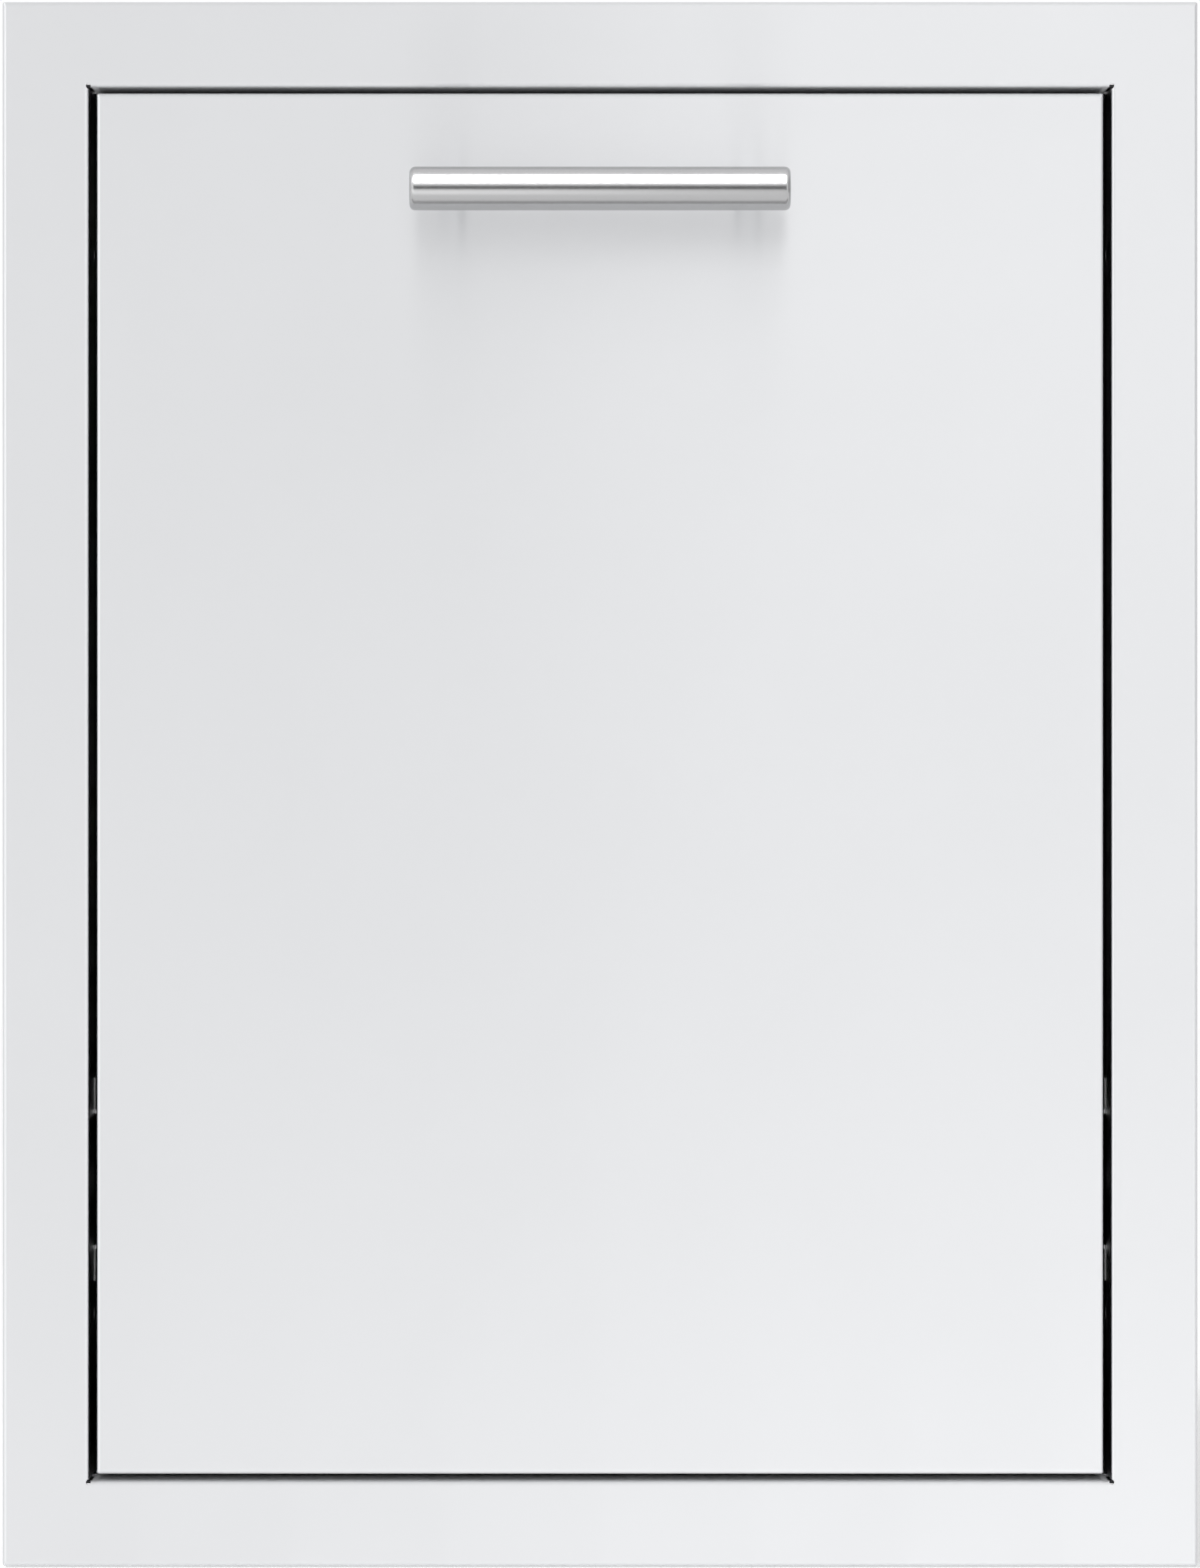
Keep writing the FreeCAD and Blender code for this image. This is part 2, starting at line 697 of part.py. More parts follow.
def build_side_panel(side):
    body = new_body(f"{SIDES[side]}_side_panel")
    wall = f"{side} * Places.shell_half_width"
    outside = f"{side} * Places.shell_outside"
    inward = f"{side} * (Places.shell_half_width - Dims.panel_flange)"
    top = "Places.shell_half_height"
    under = "Places.shell_half_height - Dims.panel_sheet"
    extrude(body, "YZ", wall, "Dims.panel_sheet", side,
            rectangle("Places.shell_front", "Places.shell_back", f"-({top})", top))
    left, right = (outside, inward) if side == LEFT else (inward, outside)
    extrude(body, "XZ", "Places.panel_flange_start", "Places.shell_back - Places.panel_flange_start", 1,
            rectangle(left, right, under, top), rectangle(left, right, f"-({top})", f"-({under})"))
    rear = "Places.shell_half_height - Dims.panel_flange"
    extrude(body, "XZ", "Places.shell_back", "Dims.panel_sheet", -1,
            rectangle(left, right, f"-({rear})", rear))
    corner_x = number(outside)
    corner_z = number(top)

    def bend(box):
        long_way = box.YMax - box.YMin > 100
        at_side = abs(box.XMin - corner_x) < 1e-3 and abs(box.XMax - corner_x) < 1e-3
        return long_way and at_side and abs(abs(box.ZMin) - corner_z) < 1e-3
    fillet(body, "min(Dims.panel_bend; Dims.panel_sheet * 0.8)", bend)
    mounts = [circle(y, f"{z} * Places.mount_z", "Dims.mount_hole_radius")
              for y in ("Dims.mount_first", "Dims.mount_first + Dims.mount_pitch") for z in (-1, 1)]
    rivets = [circle(y, f"Places.slide_level + {z} * Places.bracket_rivet", "Places.rivet_hole")
              for y in bracket_rows() for z in (-1, 1)]
    cut(body, "YZ", wall, "Dims.panel_sheet", side, *mounts, *rivets)
    column = f"{side} * Places.panel_rivet_x"
    cut(body, "XY", top, "2 * Places.shell_half_height", -1,
        *[circle(column, y, "Places.rivet_hole") for y in panel_rows()])
    cut(body, "XZ", "Places.shell_back", "Dims.panel_sheet", -1,
        *[circle(column, z, "Places.rivet_hole") for z in back_rows()])


def build_level_panel(label, up):
    body = new_body(label)
    level = f"{up} * Places.shell_half_height"
    extrude(body, "XY", level, "Dims.panel_sheet", up,
            rectangle("-Places.shell_outside", "Places.shell_outside", "Places.shell_front",
                      "Places.shell_back"))
    cut(body, "XY", level, "Dims.panel_sheet", up,
        *[circle(f"{side} * Places.panel_rivet_x", y, "Places.rivet_hole")
          for side in SIDES for y in panel_rows()])


def build_back_panel():
    body = new_body("back_panel")
    extrude(body, "XZ", "Places.shell_back", "Dims.panel_sheet", 1,
            centred("Places.shell_outside", "Places.shell_over"))
    cut(body, "XZ", "Places.shell_back", "Dims.panel_sheet", 1,
        *[circle(f"{side} * Places.panel_rivet_x", z, "Places.rivet_hole")
          for side in SIDES for z in back_rows()])


def build_slide_bracket(side):
    """A hat-shaped channel on the side panel that carries the slide."""
    body = new_body(f"{SIDES[side]}_slide_bracket")
    half = "Dims.bracket_height / 2"
    wide = "Dims.bracket_height / 2 + Dims.bracket_flange"
    inner = "Dims.bracket_height / 2 - Dims.bracket_sheet"
    hat = [("0", wide), ("Dims.bracket_sheet", wide), ("Dims.bracket_sheet", half),
           ("Dims.bracket_depth", half), ("Dims.bracket_depth", f"-({half})"),
           ("Dims.bracket_sheet", f"-({half})"), ("Dims.bracket_sheet", f"-({wide})"),
           ("0", f"-({wide})"), ("0", f"-({inner})"),
           ("Dims.bracket_depth - Dims.bracket_sheet", f"-({inner})"),
           ("Dims.bracket_depth - Dims.bracket_sheet", inner), ("0", inner)]

    def corner(x, z):
        return f"{side} * (Places.shell_half_width - ({x}))", f"Places.slide_level + {z}"
    extrude(body, "XZ", "Places.panel_flange_start", "Places.slide_back - Places.panel_flange_start", 1,
            polygon([corner(x, z) for x, z in hat]))
    crown, crown_inside = "Dims.bracket_depth", "Dims.bracket_depth - Dims.bracket_sheet"
    bends = []
    for up in (-1, 1):
        bends.append((corner(crown, f"{up} * ({half})"), corner(crown_inside, f"{up} * ({inner})")))
        bends.append((corner("0", f"{up} * ({inner})"), corner("Dims.bracket_sheet", f"{up} * ({half})")))
    fold(body, "Y", "Dims.bracket_sheet", *bends)
    wall = f"{side} * Places.shell_half_width"
    cut(body, "YZ", wall, "Dims.bracket_sheet", -side,
        *[circle(y, f"Places.slide_level + {z} * Places.bracket_rivet", "Places.rivet_hole")
          for y in bracket_rows() for z in (-1, 1)])
    cut(body, "YZ", f"{side} * Places.slide_face", "Dims.bracket_sheet", side,
        *[circle(f"Places.slide_front + {y}", "Places.slide_level", "Places.screw_hole")
          for y in outer_screw_rows()])


# Slides: local frame on the bracket's face at the slide's front end

def new_slide_body(side, label):
    body = new_body(f"{SIDES[side]}_{label}")
    place_body(body, f"{side} * Places.slide_face", "Places.slide_front", "Places.slide_level")
    return body


def section(side, corners):
    """A slide cross-section from places across from the bracket and up from the centre line."""
    return polygon([(f"{-side} * ({x})", z) for x, z in corners])


def round_corners(body, side, *corners):
    """Round the long outer corners of a slide member."""
    spots = [(f"{-side} * ({x})", f"{up} * {z}") for x, z in corners for up in (-1, 1)]
    fillet(body, "Dims.slide_bend", running("Y", *spots))


def mounting_slots(rows):
    """A slot beside each screw hole, for setting the slide before it is fixed."""
    return [slot(f"{y} + Dims.slot_step", "0", "Dims.slot_length", "Places.screw_hole") for y in rows]


def raceways(side, x, z):
    return [circle(f"{-side} * {x}", f"{up} * {z}", "Places.ball_hole") for up in (-1, 1)]


def channel(web_start, web_end, flange_end, top, sheet):
    """A C-shaped cross-section: a web with a flange at its top and bottom."""
    under = f"{top} - {sheet}"
    return [(web_start, f"-({top})"), (flange_end, f"-({top})"), (flange_end, f"-({under})"),
            (web_end, f"-({under})"), (web_end, under), (flange_end, under), (flange_end, top),
            (web_start, top)]


def build_outer_member(side):
    body = new_slide_body(side, "slide_outer")
    top = "Places.outer_top"
    under = "Places.outer_top - Dims.slide_sheet"
    end = "Places.outer_flange_end"
    lip = "Places.outer_flange_end - Dims.slide_sheet"
    hook = "Places.outer_lip_end"
    outline = [("0", f"-({top})"), (end, f"-({top})"), (end, f"-({hook})"), (lip, f"-({hook})"),
               (lip, f"-({under})"), ("Dims.slide_sheet", f"-({under})"), ("Dims.slide_sheet", under),
               (lip, under), (lip, hook), (end, hook), (end, top), ("0", top)]
    extrude(body, "XZ", "0", "Dims.slide_length", 1, section(side, outline))
    round_corners(body, side, ("0", top), (end, top))
    cut(body, "XZ", "0", "Dims.slide_length", 1,
        *raceways(side, "Places.outer_ball_x", "Places.outer_ball_z"))
    cut(body, "YZ", "0", "Dims.slide_sheet", -side, *mounting_slots(outer_screw_rows()))
    cone = body.newObject("PartDesign::SubtractiveCone", "countersink")
    cone.setExpression("Radius1", "Places.screw_hole")
    cone.setExpression("Radius2", "Places.screw_hole + Dims.slide_sheet")
    cone.setExpression("Height", "Dims.slide_sheet")
    cone.Placement = FreeCAD.Placement(Vector(0, 0, 0), FreeCAD.Rotation(Vector(0, 1, 0), -90 * side))
    cone.setExpression("Placement.Base.y", "Dims.slide_screw_inset")
    doc.recompute()
    repeat(body, "Y", "Dims.slide_length - 2 * Dims.slide_screw_inset", 4)


def build_middle_member(side):
    body = new_slide_body(side, "slide_middle")
    outline = channel("Places.middle_x", "Places.middle_x + Dims.slide_sheet", "Places.middle_flange_end",
                      "Places.middle_top", "Dims.slide_sheet")
    extrude(body, "XZ", "0", "Places.member_length", 1, section(side, outline))
    round_corners(body, side, ("Places.middle_x", "Places.middle_top"))
    cut(body, "XZ", "0", "Places.member_length", 1,
        *raceways(side, "Places.outer_ball_x", "Places.outer_ball_z"),
        *raceways(side, "Places.inner_ball_x", "Places.inner_ball_z"))
    cut(body, "YZ", f"{-side} * Places.middle_x", "Dims.slide_sheet", -side,
        *[circle(y, "0", "Dims.driver_hole_radius") for y in outer_screw_rows()])


def build_inner_member(side):
    body = new_slide_body(side, "slide_inner")
    outline = channel("Places.slide_thickness", "Places.inner_web_x", "Places.inner_x",
                      "Places.inner_top", "Dims.slide_sheet")
    extrude(body, "XZ", "0", "Places.member_length", 1, section(side, outline))
    round_corners(body, side, ("Places.slide_thickness", "Places.inner_top"))
    cut(body, "XZ", "0", "Places.member_length", 1,
        *raceways(side, "Places.inner_ball_x", "Places.inner_ball_z"))
    cut(body, "YZ", f"{-side} * Places.slide_thickness", "Dims.slide_sheet", side,
        *[circle(y, "0", "Places.screw_hole") for y in inner_screw_rows()],
        *mounting_slots(inner_screw_rows()))
    extrude(body, "YZ", f"{-side} * Places.slide_thickness",
            "Dims.slide_sheet + Dims.lever_thickness + 2 * Dims.lever_gap", side,
            circle("Dims.lever_start", "0", "Dims.lever_pin_radius"))


def build_cage(side, label, start, ball_x, ball_z, leg_end):
    """A thin channel whose legs hold a row of balls each."""
    body = new_slide_body(side, label)
    outline = channel(start, f"{start} + Dims.cage_sheet", leg_end,
                      f"{ball_z} + Dims.cage_sheet / 2", "Dims.cage_sheet")
    extrude(body, "XZ", "Places.cage_start", "Places.cage_length", 1, section(side, outline))
    cut(body, "XY", "Places.outer_top", "2 * Places.outer_top", -1,
        *[circle(f"{-side} * {ball_x}", y, "Places.ball_hole") for y in ball_rows()])


def ball_rows():
    """Ball places along the slide, from end to end of the cage."""
    return spread("Places.cage_start + Dims.cage_end",
                  "Places.cage_start + Places.cage_length - Dims.cage_end", 8)


def build_balls(side, label, ball_x, ball_z):
    ball = Part.makeSphere(number("Dims.ball_radius"))
    balls = [placed(ball, f"{side} * (Places.slide_face - {ball_x})", f"Places.slide_front + {y}",
                    f"Places.slide_level + {up} * {ball_z}", (0, 0, 1))
             for y in ball_rows() for up in (-1, 1)]
    group(f"{SIDES[side]}_{label}", balls)


def build_bumper(side):
    """A rubber stop in the rear end of the outer member."""
    body = new_slide_body(side, "slide_bumper")
    half = "Dims.bumper_height / 2"
    inner, outer = f"{-side} * Places.inner_web_x", f"{-side} * Dims.slide_sheet"
    left, right = (outer, inner) if side == LEFT else (inner, outer)
    stop = "Dims.slide_length - Dims.bumper_length"
    extrude(body, "XZ", stop, "Dims.bumper_length", 1, rectangle(left, right, f"-({half})", half))
    fillet(body, "Dims.bumper_rounding", on_level("Y", stop))


def build_release_lever(side):
    body = new_slide_body(side, "release_lever")
    half = "Dims.lever_height / 2"
    level = f"{-side} * (Places.inner_web_x - Dims.lever_gap)"
    end = "Dims.lever_start + Dims.lever_length"
    extrude(body, "YZ", level, "Dims.lever_thickness", side,
            circle("Dims.lever_start", "0", half))
    arm = [("Dims.lever_start", f"-({half})"), (end, f"-({half})"), (f"{end} + {half}", "0"),
           (f"{end} + {half}", half), ("Dims.lever_start", half)]
    extrude(body, "YZ", level, "Dims.lever_thickness", side, polygon(arm))
    cut(body, "YZ", level, "Dims.lever_thickness", side,
        circle("Dims.lever_start", "0", "Dims.lever_pin_radius + Dims.lever_pin_fit"))


# Drawer front and handle

def front_outline(inset):
    half = f"Places.front_half_width - ({inset})"
    return rectangle(f"-({half})", half, f"Places.front_bottom + {inset}", f"Places.front_top - ({inset})")


def handle_holes(radius):
    return [circle(f"{side} * Places.post_x", "Places.handle_level", radius) for side in SIDES]


def build_front_pan():
    body = new_body("drawer_front_pan")
    extrude(body, "XZ", "Places.frame_front", "Dims.front_depth", 1, front_outline("0"))
    fillet(body, "Places.bend_outside", on_level("Y", "Places.frame_front"))
    corners = corners_of("Places.front_half_width", "Places.front_bottom", "Places.front_top")
    fillet(body, "Dims.corner_rounding", running("Y", *corners))
    cut(body, "XZ", "Places.front_back", "Dims.front_depth - Dims.face_sheet", -1,
        front_outline("Dims.face_sheet"))
    fillet(body, "Dims.bend_inside", on_level("Y", "Places.skin_back"))
    cut(body, "XZ", "Places.frame_front", "Dims.face_sheet", 1, *handle_holes("Places.handle_screw_hole"))


def build_front_liner():
    """The tray that closes the front pan from behind."""
    body = new_body("drawer_front_liner")
    outset = "Dims.face_sheet + Dims.liner_fit"
    extrude(body, "XZ", "Places.front_back", "Dims.liner_flange", -1, front_outline(outset))
    fillet(body, "Dims.fold_inside + Dims.liner_sheet", on_level("Y", "Places.front_back"))
    cut(body, "XZ", "Places.front_back - Dims.liner_flange", "Dims.liner_flange - Dims.liner_sheet", 1,
        front_outline(f"{outset} + Dims.liner_sheet"))
    fillet(body, "Dims.fold_inside", on_level("Y", "Places.front_back - Dims.liner_sheet"))
    walls = [circle(f"{side} * Places.wall_flange_x", z, "Places.screw_hole")
             for side in SIDES for z in wall_front_rows()]
    gussets = [circle(f"{side} * (Places.wall_flange_x - Dims.drawer_sheet)", z, "Places.screw_hole")
               for side in SIDES for z in gusset_front_rows()]
    floor = [circle(x, FLOOR_SCREW_Z, "Places.screw_hole") for x in floor_front_rows()]
    cut(body, "XZ", "Places.front_back", "Dims.liner_sheet", -1,
        *walls, *gussets, *floor, *handle_holes("Dims.access_radius"))


def build_backing_plate():
    body = new_body("handle_backing_plate")
    half_w = "Places.post_x + Dims.backing_overhang"
    half_h = "Dims.backing_height / 2"
    extrude(body, "XZ", "Places.skin_back", "Dims.backing_sheet", 1,
            rectangle(f"-({half_w})", half_w, f"Places.handle_level - {half_h}",
                      f"Places.handle_level + {half_h}"))
    cut(body, "XZ", "Places.skin_back", "Dims.backing_sheet", 1, *handle_holes("Places.handle_screw_hole"))


def build_handle_bar():
    body = new_body("handle_bar")
    outside = circle("Places.handle_axis", "Places.handle_level", "Dims.handle_diameter / 2")
    bore = circle("Places.handle_axis", "Places.handle_level", "Dims.handle_diameter / 2 - Dims.handle_wall")
    half = "Dims.handle_length / 2 - Dims.cap_height"
    extrude(body, "YZ", f"-({half})", f"2 * ({half})", 1, outside, bore)


def build_handle_cap(side):
    body = new_body(f"handle_{SIDES[side]}_cap")
    level = f"{side} * (Dims.handle_length / 2 - Dims.cap_height)"
    axis = ("Places.handle_axis", "Places.handle_level")
    extrude(body, "YZ", level, "Dims.cap_height", side, circle(*axis, "Dims.handle_diameter / 2"))
    fillet(body, "min(Dims.cap_rounding; Dims.cap_height * 0.9)",
           on_level("X", f"{side} * Dims.handle_length / 2"))
    extrude(body, "YZ", level, "Dims.cap_plug", -side,
            circle(*axis, "Dims.handle_diameter / 2 - Dims.handle_wall - Dims.cap_fit"))


def build_handle_post(side):
    body = new_body(f"handle_{SIDES[side]}_post")
    centre = f"{side} * Places.post_x"
    extrude(body, "XZ", "Places.frame_front", "Dims.handle_standoff", -1,
            circle(centre, "Places.handle_level", "Dims.post_diameter / 2"))
    cut(body, "YZ", f"{centre} - Dims.post_diameter", "2 * Dims.post_diameter", 1,
        circle("Places.handle_axis", "Places.handle_level", "Dims.handle_diameter / 2 + Dims.post_fit"))
    cut(body, "XZ", "Places.frame_front", "Dims.post_bore", -1,
        circle(centre, "Places.handle_level", "Places.handle_screw_hole"))


# Drawer box

def build_drawer_side(side):
    body = new_body(f"drawer_{SIDES[side]}_side")
    sheet = "Dims.drawer_sheet"
    outer, inside = f"{side} * Places.drawer_half_width", f"{side} * Places.drawer_inside"
    flange = f"{side} * (Places.drawer_half_width - Dims.wall_flange)"
    hem = f"{side} * (Places.drawer_half_width - Dims.wall_hem)"
    flange_ends = (outer, flange) if side == LEFT else (flange, outer)
    hem_ends = (outer, hem) if side == LEFT else (hem, outer)
    front, rear = "Places.front_back", "Places.drawer_rear"
    first, last = f"{front} + Places.fold_notch", f"{rear} - Places.fold_notch"
    bottom, top = "Places.drawer_bottom", "Places.wall_top"
    low, high = "Places.floor_top + Dims.corner_gap", f"{top} - Places.fold_notch"
    hem_start = "Places.gusset_back + Dims.corner_gap"
    web = [(first, bottom), (last, bottom), (last, low), (rear, low), (rear, high), (last, high),
           (last, top), (hem_start, top), (hem_start, high), (front, high), (front, low), (first, low)]
    extrude(body, "YZ", outer, sheet, -side, polygon(web))
    extrude(body, "XY", bottom, sheet, 1, rectangle(*flange_ends, first, last))
    extrude(body, "XY", top, sheet, -1, rectangle(*hem_ends, hem_start, last))
    extrude(body, "XZ", front, sheet, 1, rectangle(*flange_ends, low, high))
    extrude(body, "XZ", rear, sheet, -1, rectangle(*flange_ends, low, high))
    fold(body, "Y", sheet, ((outer, bottom), (inside, f"{bottom} + {sheet}")),
         ((outer, top), (inside, f"{top} - {sheet}")))
    fold(body, "Z", sheet, ((outer, front), (inside, f"{front} + {sheet}")),
         ((outer, rear), (inside, f"{rear} - {sheet}")))
    screws = [circle(f"Places.slide_front + {y}", "Places.slide_level", "Places.screw_hole")
              for y in inner_screw_rows()]
    gusset = [circle(y, GUSSET_RIVET_Z, "Places.rivet_hole") for y in gusset_rows()]
    divider = [circle("Places.bay_middle", "Places.divider_rivet", "Places.rivet_hole")]
    cut(body, "YZ", outer, sheet, -side, *screws, *gusset, *divider)
    column = f"{side} * Places.wall_flange_x"
    cut(body, "XY", bottom, sheet, 1, *[circle(column, y, "Places.rivet_hole") for y in floor_rows()])
    cut(body, "XZ", front, sheet, 1, *[circle(column, z, "Places.screw_hole") for z in wall_front_rows()])
    cut(body, "XZ", rear, sheet, -1, *[circle(column, z, "Places.rivet_hole") for z in drawer_back_rows()])


def build_drawer_floor():
    body = new_body("drawer_floor")
    front, notch = "Places.front_back", "Places.front_back + Places.fold_notch"
    outline = [("Places.floor_upturn_half", front), ("Places.floor_upturn_half", notch),
               ("Places.drawer_plate", notch), ("Places.drawer_plate", "Places.drawer_rear")]
    extrude(body, "XY", "Places.floor_under", "Dims.drawer_sheet", 1, polygon(mirrored(outline)))
    extrude(body, "XZ", front, "Dims.drawer_sheet", 1,
            rectangle("-Places.floor_upturn_half", "Places.floor_upturn_half", "Places.floor_under",
                      "Places.floor_top + Dims.floor_upturn"))
    fold(body, "X", "Dims.drawer_sheet",
         ((front, "Places.floor_under"), (f"{front} + Dims.drawer_sheet", "Places.floor_top")))
    cut(body, "XY", "Places.floor_under", "Dims.drawer_sheet", 1,
        *[circle(f"{side} * Places.wall_flange_x", y, "Places.rivet_hole")
          for side in SIDES for y in floor_rows()])
    cut(body, "XZ", "Places.front_back", "Dims.drawer_sheet", 1,
        *[circle(x, FLOOR_SCREW_Z, "Places.screw_hole") for x in floor_front_rows()])


def build_drawer_back():
    body = new_body("drawer_back")
    front, rear = "Places.back_front", "Places.back_front + Dims.drawer_sheet"
    top, notch = "Places.back_top", "Places.back_top - Places.fold_notch"
    half = "Places.drawer_plate - Dims.wall_hem"
    outline = [("Places.drawer_plate", "Places.floor_top"), ("Places.drawer_plate", notch), (half, notch),
               (half, top)]
    extrude(body, "XZ", front, "Dims.drawer_sheet", 1, polygon(mirrored(outline)))
    extrude(body, "XY", top, "Dims.drawer_sheet", -1,
            rectangle(f"-({half})", half, f"{front} - Dims.wall_hem", rear))
    fold(body, "X", "Dims.drawer_sheet", ((rear, top), (front, f"{top} - Dims.drawer_sheet")))
    cut(body, "XZ", "Places.back_front", "Dims.drawer_sheet", 1,
        *[circle(f"{side} * Places.wall_flange_x", z, "Places.rivet_hole")
          for side in SIDES for z in drawer_back_rows()])


def build_front_gusset(side):
    """A folded brace between the drawer's side and the upper part of its front."""
    body = new_body(f"{SIDES[side]}_front_gusset")
    face = f"{side} * Places.drawer_inside"
    edge = f"{side} * (Places.drawer_inside - Dims.wall_flange)"
    ends = (face, edge) if side == LEFT else (edge, face)
    plate = [("Places.gusset_front", "Places.gusset_low"), ("Places.gusset_back", "Places.gusset_low"),
             ("Places.gusset_back", "Places.gusset_foot"),
             ("Places.front_back + Dims.gusset_tip", "Places.gusset_top"),
             ("Places.front_back", "Places.gusset_top"), ("Places.front_back", "Places.gusset_foot"),
             ("Places.gusset_front", "Places.gusset_foot")]
    extrude(body, "YZ", face, "Dims.drawer_sheet", -side, polygon(plate))
    extrude(body, "XZ", "Places.front_back", "Dims.drawer_sheet", 1,
            rectangle(*ends, "Places.gusset_foot", "Places.gusset_top"))
    fold(body, "Z", "Dims.drawer_sheet",
         ((face, "Places.front_back"),
          (f"{side} * Places.gusset_inside", "Places.front_back + Dims.drawer_sheet")))
    brace = [("Places.gusset_back", "Places.gusset_foot"),
             ("Places.front_back + Dims.gusset_tip", "Places.gusset_top"),
             ("Places.front_back + Dims.gusset_tip - Dims.drawer_sheet", "Places.gusset_top"),
             ("Places.gusset_back - Dims.drawer_sheet", "Places.gusset_foot")]
    extrude(body, "YZ", face, "Dims.gusset_stiffener", -side, polygon(brace))
    cut(body, "YZ", face, "Dims.drawer_sheet", -side,
        *[circle(y, GUSSET_RIVET_Z, "Places.rivet_hole") for y in gusset_rows()])
    column = f"{side} * (Places.wall_flange_x - Dims.drawer_sheet)"
    cut(body, "XZ", "Places.front_back", "Dims.drawer_sheet", 1,
        *[circle(column, z, "Places.screw_hole") for z in gusset_front_rows()])


def build_bin_divider():
    """An upturned channel between the two bins, with a tab at each end."""
    body = new_body("bin_divider")
    front = "Places.bay_middle - Dims.divider_width / 2"
    rear = "Places.bay_middle + Dims.divider_width / 2"
    sheet = "Dims.drawer_sheet"
    top, low = "Places.divider_top", "Places.divider_low"
    outline = [(front, low), (front, top), (rear, top), (rear, low), (f"{rear} - {sheet}", low),
               (f"{rear} - {sheet}", f"{top} - {sheet}"), (f"{front} + {sheet}", f"{top} - {sheet}"),
               (f"{front} + {sheet}", low)]
    extrude(body, "YZ", "-Places.divider_end", "2 * Places.divider_end", 1, polygon(outline))
    fold(body, "X", sheet, ((front, top), (f"{front} + {sheet}", f"{top} - {sheet}")),
         ((rear, top), (f"{rear} - {sheet}", f"{top} - {sheet}")))
    for side in SIDES:
        extrude(body, "YZ", f"{side} * Places.divider_end", sheet, -side,
                rectangle(front, rear, f"{low} - Dims.divider_tab", f"{top} - Places.fold_notch"))
        cut(body, "YZ", f"{side} * Places.divider_end", sheet, -side,
            circle("Places.bay_middle", "Places.divider_rivet", "Places.rivet_hole"))


# Bins: local frame at the middle of the underside

def tub_outline(inset):
    """The tub's plan at its mouth, drawn in by an inset all round."""
    return rounded(f"Places.tub_half_width - ({inset})", f"Places.tub_half_depth - ({inset})",
                   f"Dims.bin_corner - ({inset})")


def build_bin(label, middle):
    body = new_body(label)
    place_body(body, "0", middle, "Places.floor_top")
    build_tub(body)
    build_rim(body)
    hollow_tub(body)
    fillet(body, "Dims.bin_rim_rounding", on_level("Z", "Places.bin_height"))


def build_tub(body):
    """The tapered outside: a collar with a stacking shoulder under it."""
    shoulder = "Places.bin_shoulder"
    extrude(body, "XY", "Places.bin_height", "Dims.bin_collar", -1, tub_outline("0"), draft="Dims.bin_draft")
    extrude(body, "XY", shoulder, shoulder, -1, tub_outline("Places.shoulder_inset"), draft="Dims.bin_draft")
    fillet(body, "Dims.bin_edge_rounding", on_level("Z", "0"))
    fillet(body, "Dims.bin_step_rounding", on_level("Z", shoulder))


def build_rim(body):
    """A rim with a turned-down skirt, widened into a hand grip on each side."""
    top = "Places.bin_height"
    corner = "Dims.bin_corner + Dims.bin_rim_width"
    half_w, half_d = "Places.bin_half_width", "Places.bin_half_depth"
    grip_w, grip_d = "Places.bin_half_width + Dims.grip_reach", "Dims.grip_length / 2"
    wall = "Dims.bin_wall"
    for wide, deep, turn in ((half_w, half_d, corner), (grip_w, grip_d, "Dims.grip_corner")):
        edge = rounded(wide, deep, turn)
        inside = rounded(f"{wide} - {wall}", f"{deep} - {wall}", f"{turn} - {wall}")
        extrude(body, "XY", top, "Dims.bin_rim_sheet", -1, edge)
        extrude(body, "XY", top, "Dims.bin_skirt", -1, edge, inside)
    near, far, end = "Places.tub_half_width", f"{grip_w} - {wall}", f"{grip_d} - {wall}"
    cut(body, "XY", f"{top} - Dims.bin_skirt", "Dims.bin_skirt - Dims.bin_rim_sheet", 1,
        rectangle(near, far, f"-({end})", end), rectangle(f"-({far})", f"-{near}", f"-({end})", end))


def hollow_tub(body):
    ledge = "Places.bin_shoulder + Dims.bin_wall"
    cut(body, "XY", "Places.bin_height", "Dims.bin_collar - Dims.bin_wall", -1, tub_outline("Dims.bin_wall"),
        draft="Dims.bin_draft")
    cut(body, "XY", ledge, f"{ledge} - Dims.bin_floor", -1,
        tub_outline("Places.shoulder_inset + Dims.bin_wall"), draft="Dims.bin_draft")
    fillet(body, "Dims.bin_floor_rounding", on_level("Z", "Dims.bin_floor"))
    fillet(body, "Dims.bin_step_rounding", on_level("Z", ledge))
    foot = rounded("Places.tub_half_width - Places.foot_inset", "Places.tub_half_depth - Places.foot_inset",
                   "Dims.bin_corner / 2")
    cut(body, "XY", "0", "Dims.bin_foot_height", 1, foot)


# Groups of fasteners

def build_cabinet_rivets():
    pair = rivet("2 * Dims.panel_sheet")
    bracket = rivet("Dims.panel_sheet + Dims.bracket_sheet")
    shapes = []
    for side in SIDES:
        column = f"{side} * Places.panel_rivet_x"
        for up in (-1, 1):
            shapes += [placed(pair, column, y, f"{up} * Places.shell_over", (0, 0, up))
                       for y in panel_rows()]
            shapes += [placed(bracket, f"{side} * Places.shell_outside", y,
                              f"Places.slide_level + {up} * Places.bracket_rivet", (side, 0, 0))
                       for y in bracket_rows()]
        shapes += [placed(pair, column, "Places.shell_back + Dims.panel_sheet", z, (0, 1, 0))
                   for z in back_rows()]
    group("cabinet_rivets", shapes)


def build_cabinet_screws():
    screw = flat_head("Dims.screw_radius", "Dims.slide_sheet + Dims.bracket_sheet + Dims.bracket_depth / 3",
                      "Dims.slide_sheet")
    group("cabinet_slide_screws",
          [placed(screw, f"{side} * (Places.slide_face - Dims.slide_sheet)", f"Places.slide_front + {y}",
                  "Places.slide_level", (-side, 0, 0))
           for side in SIDES for y in outer_screw_rows()])


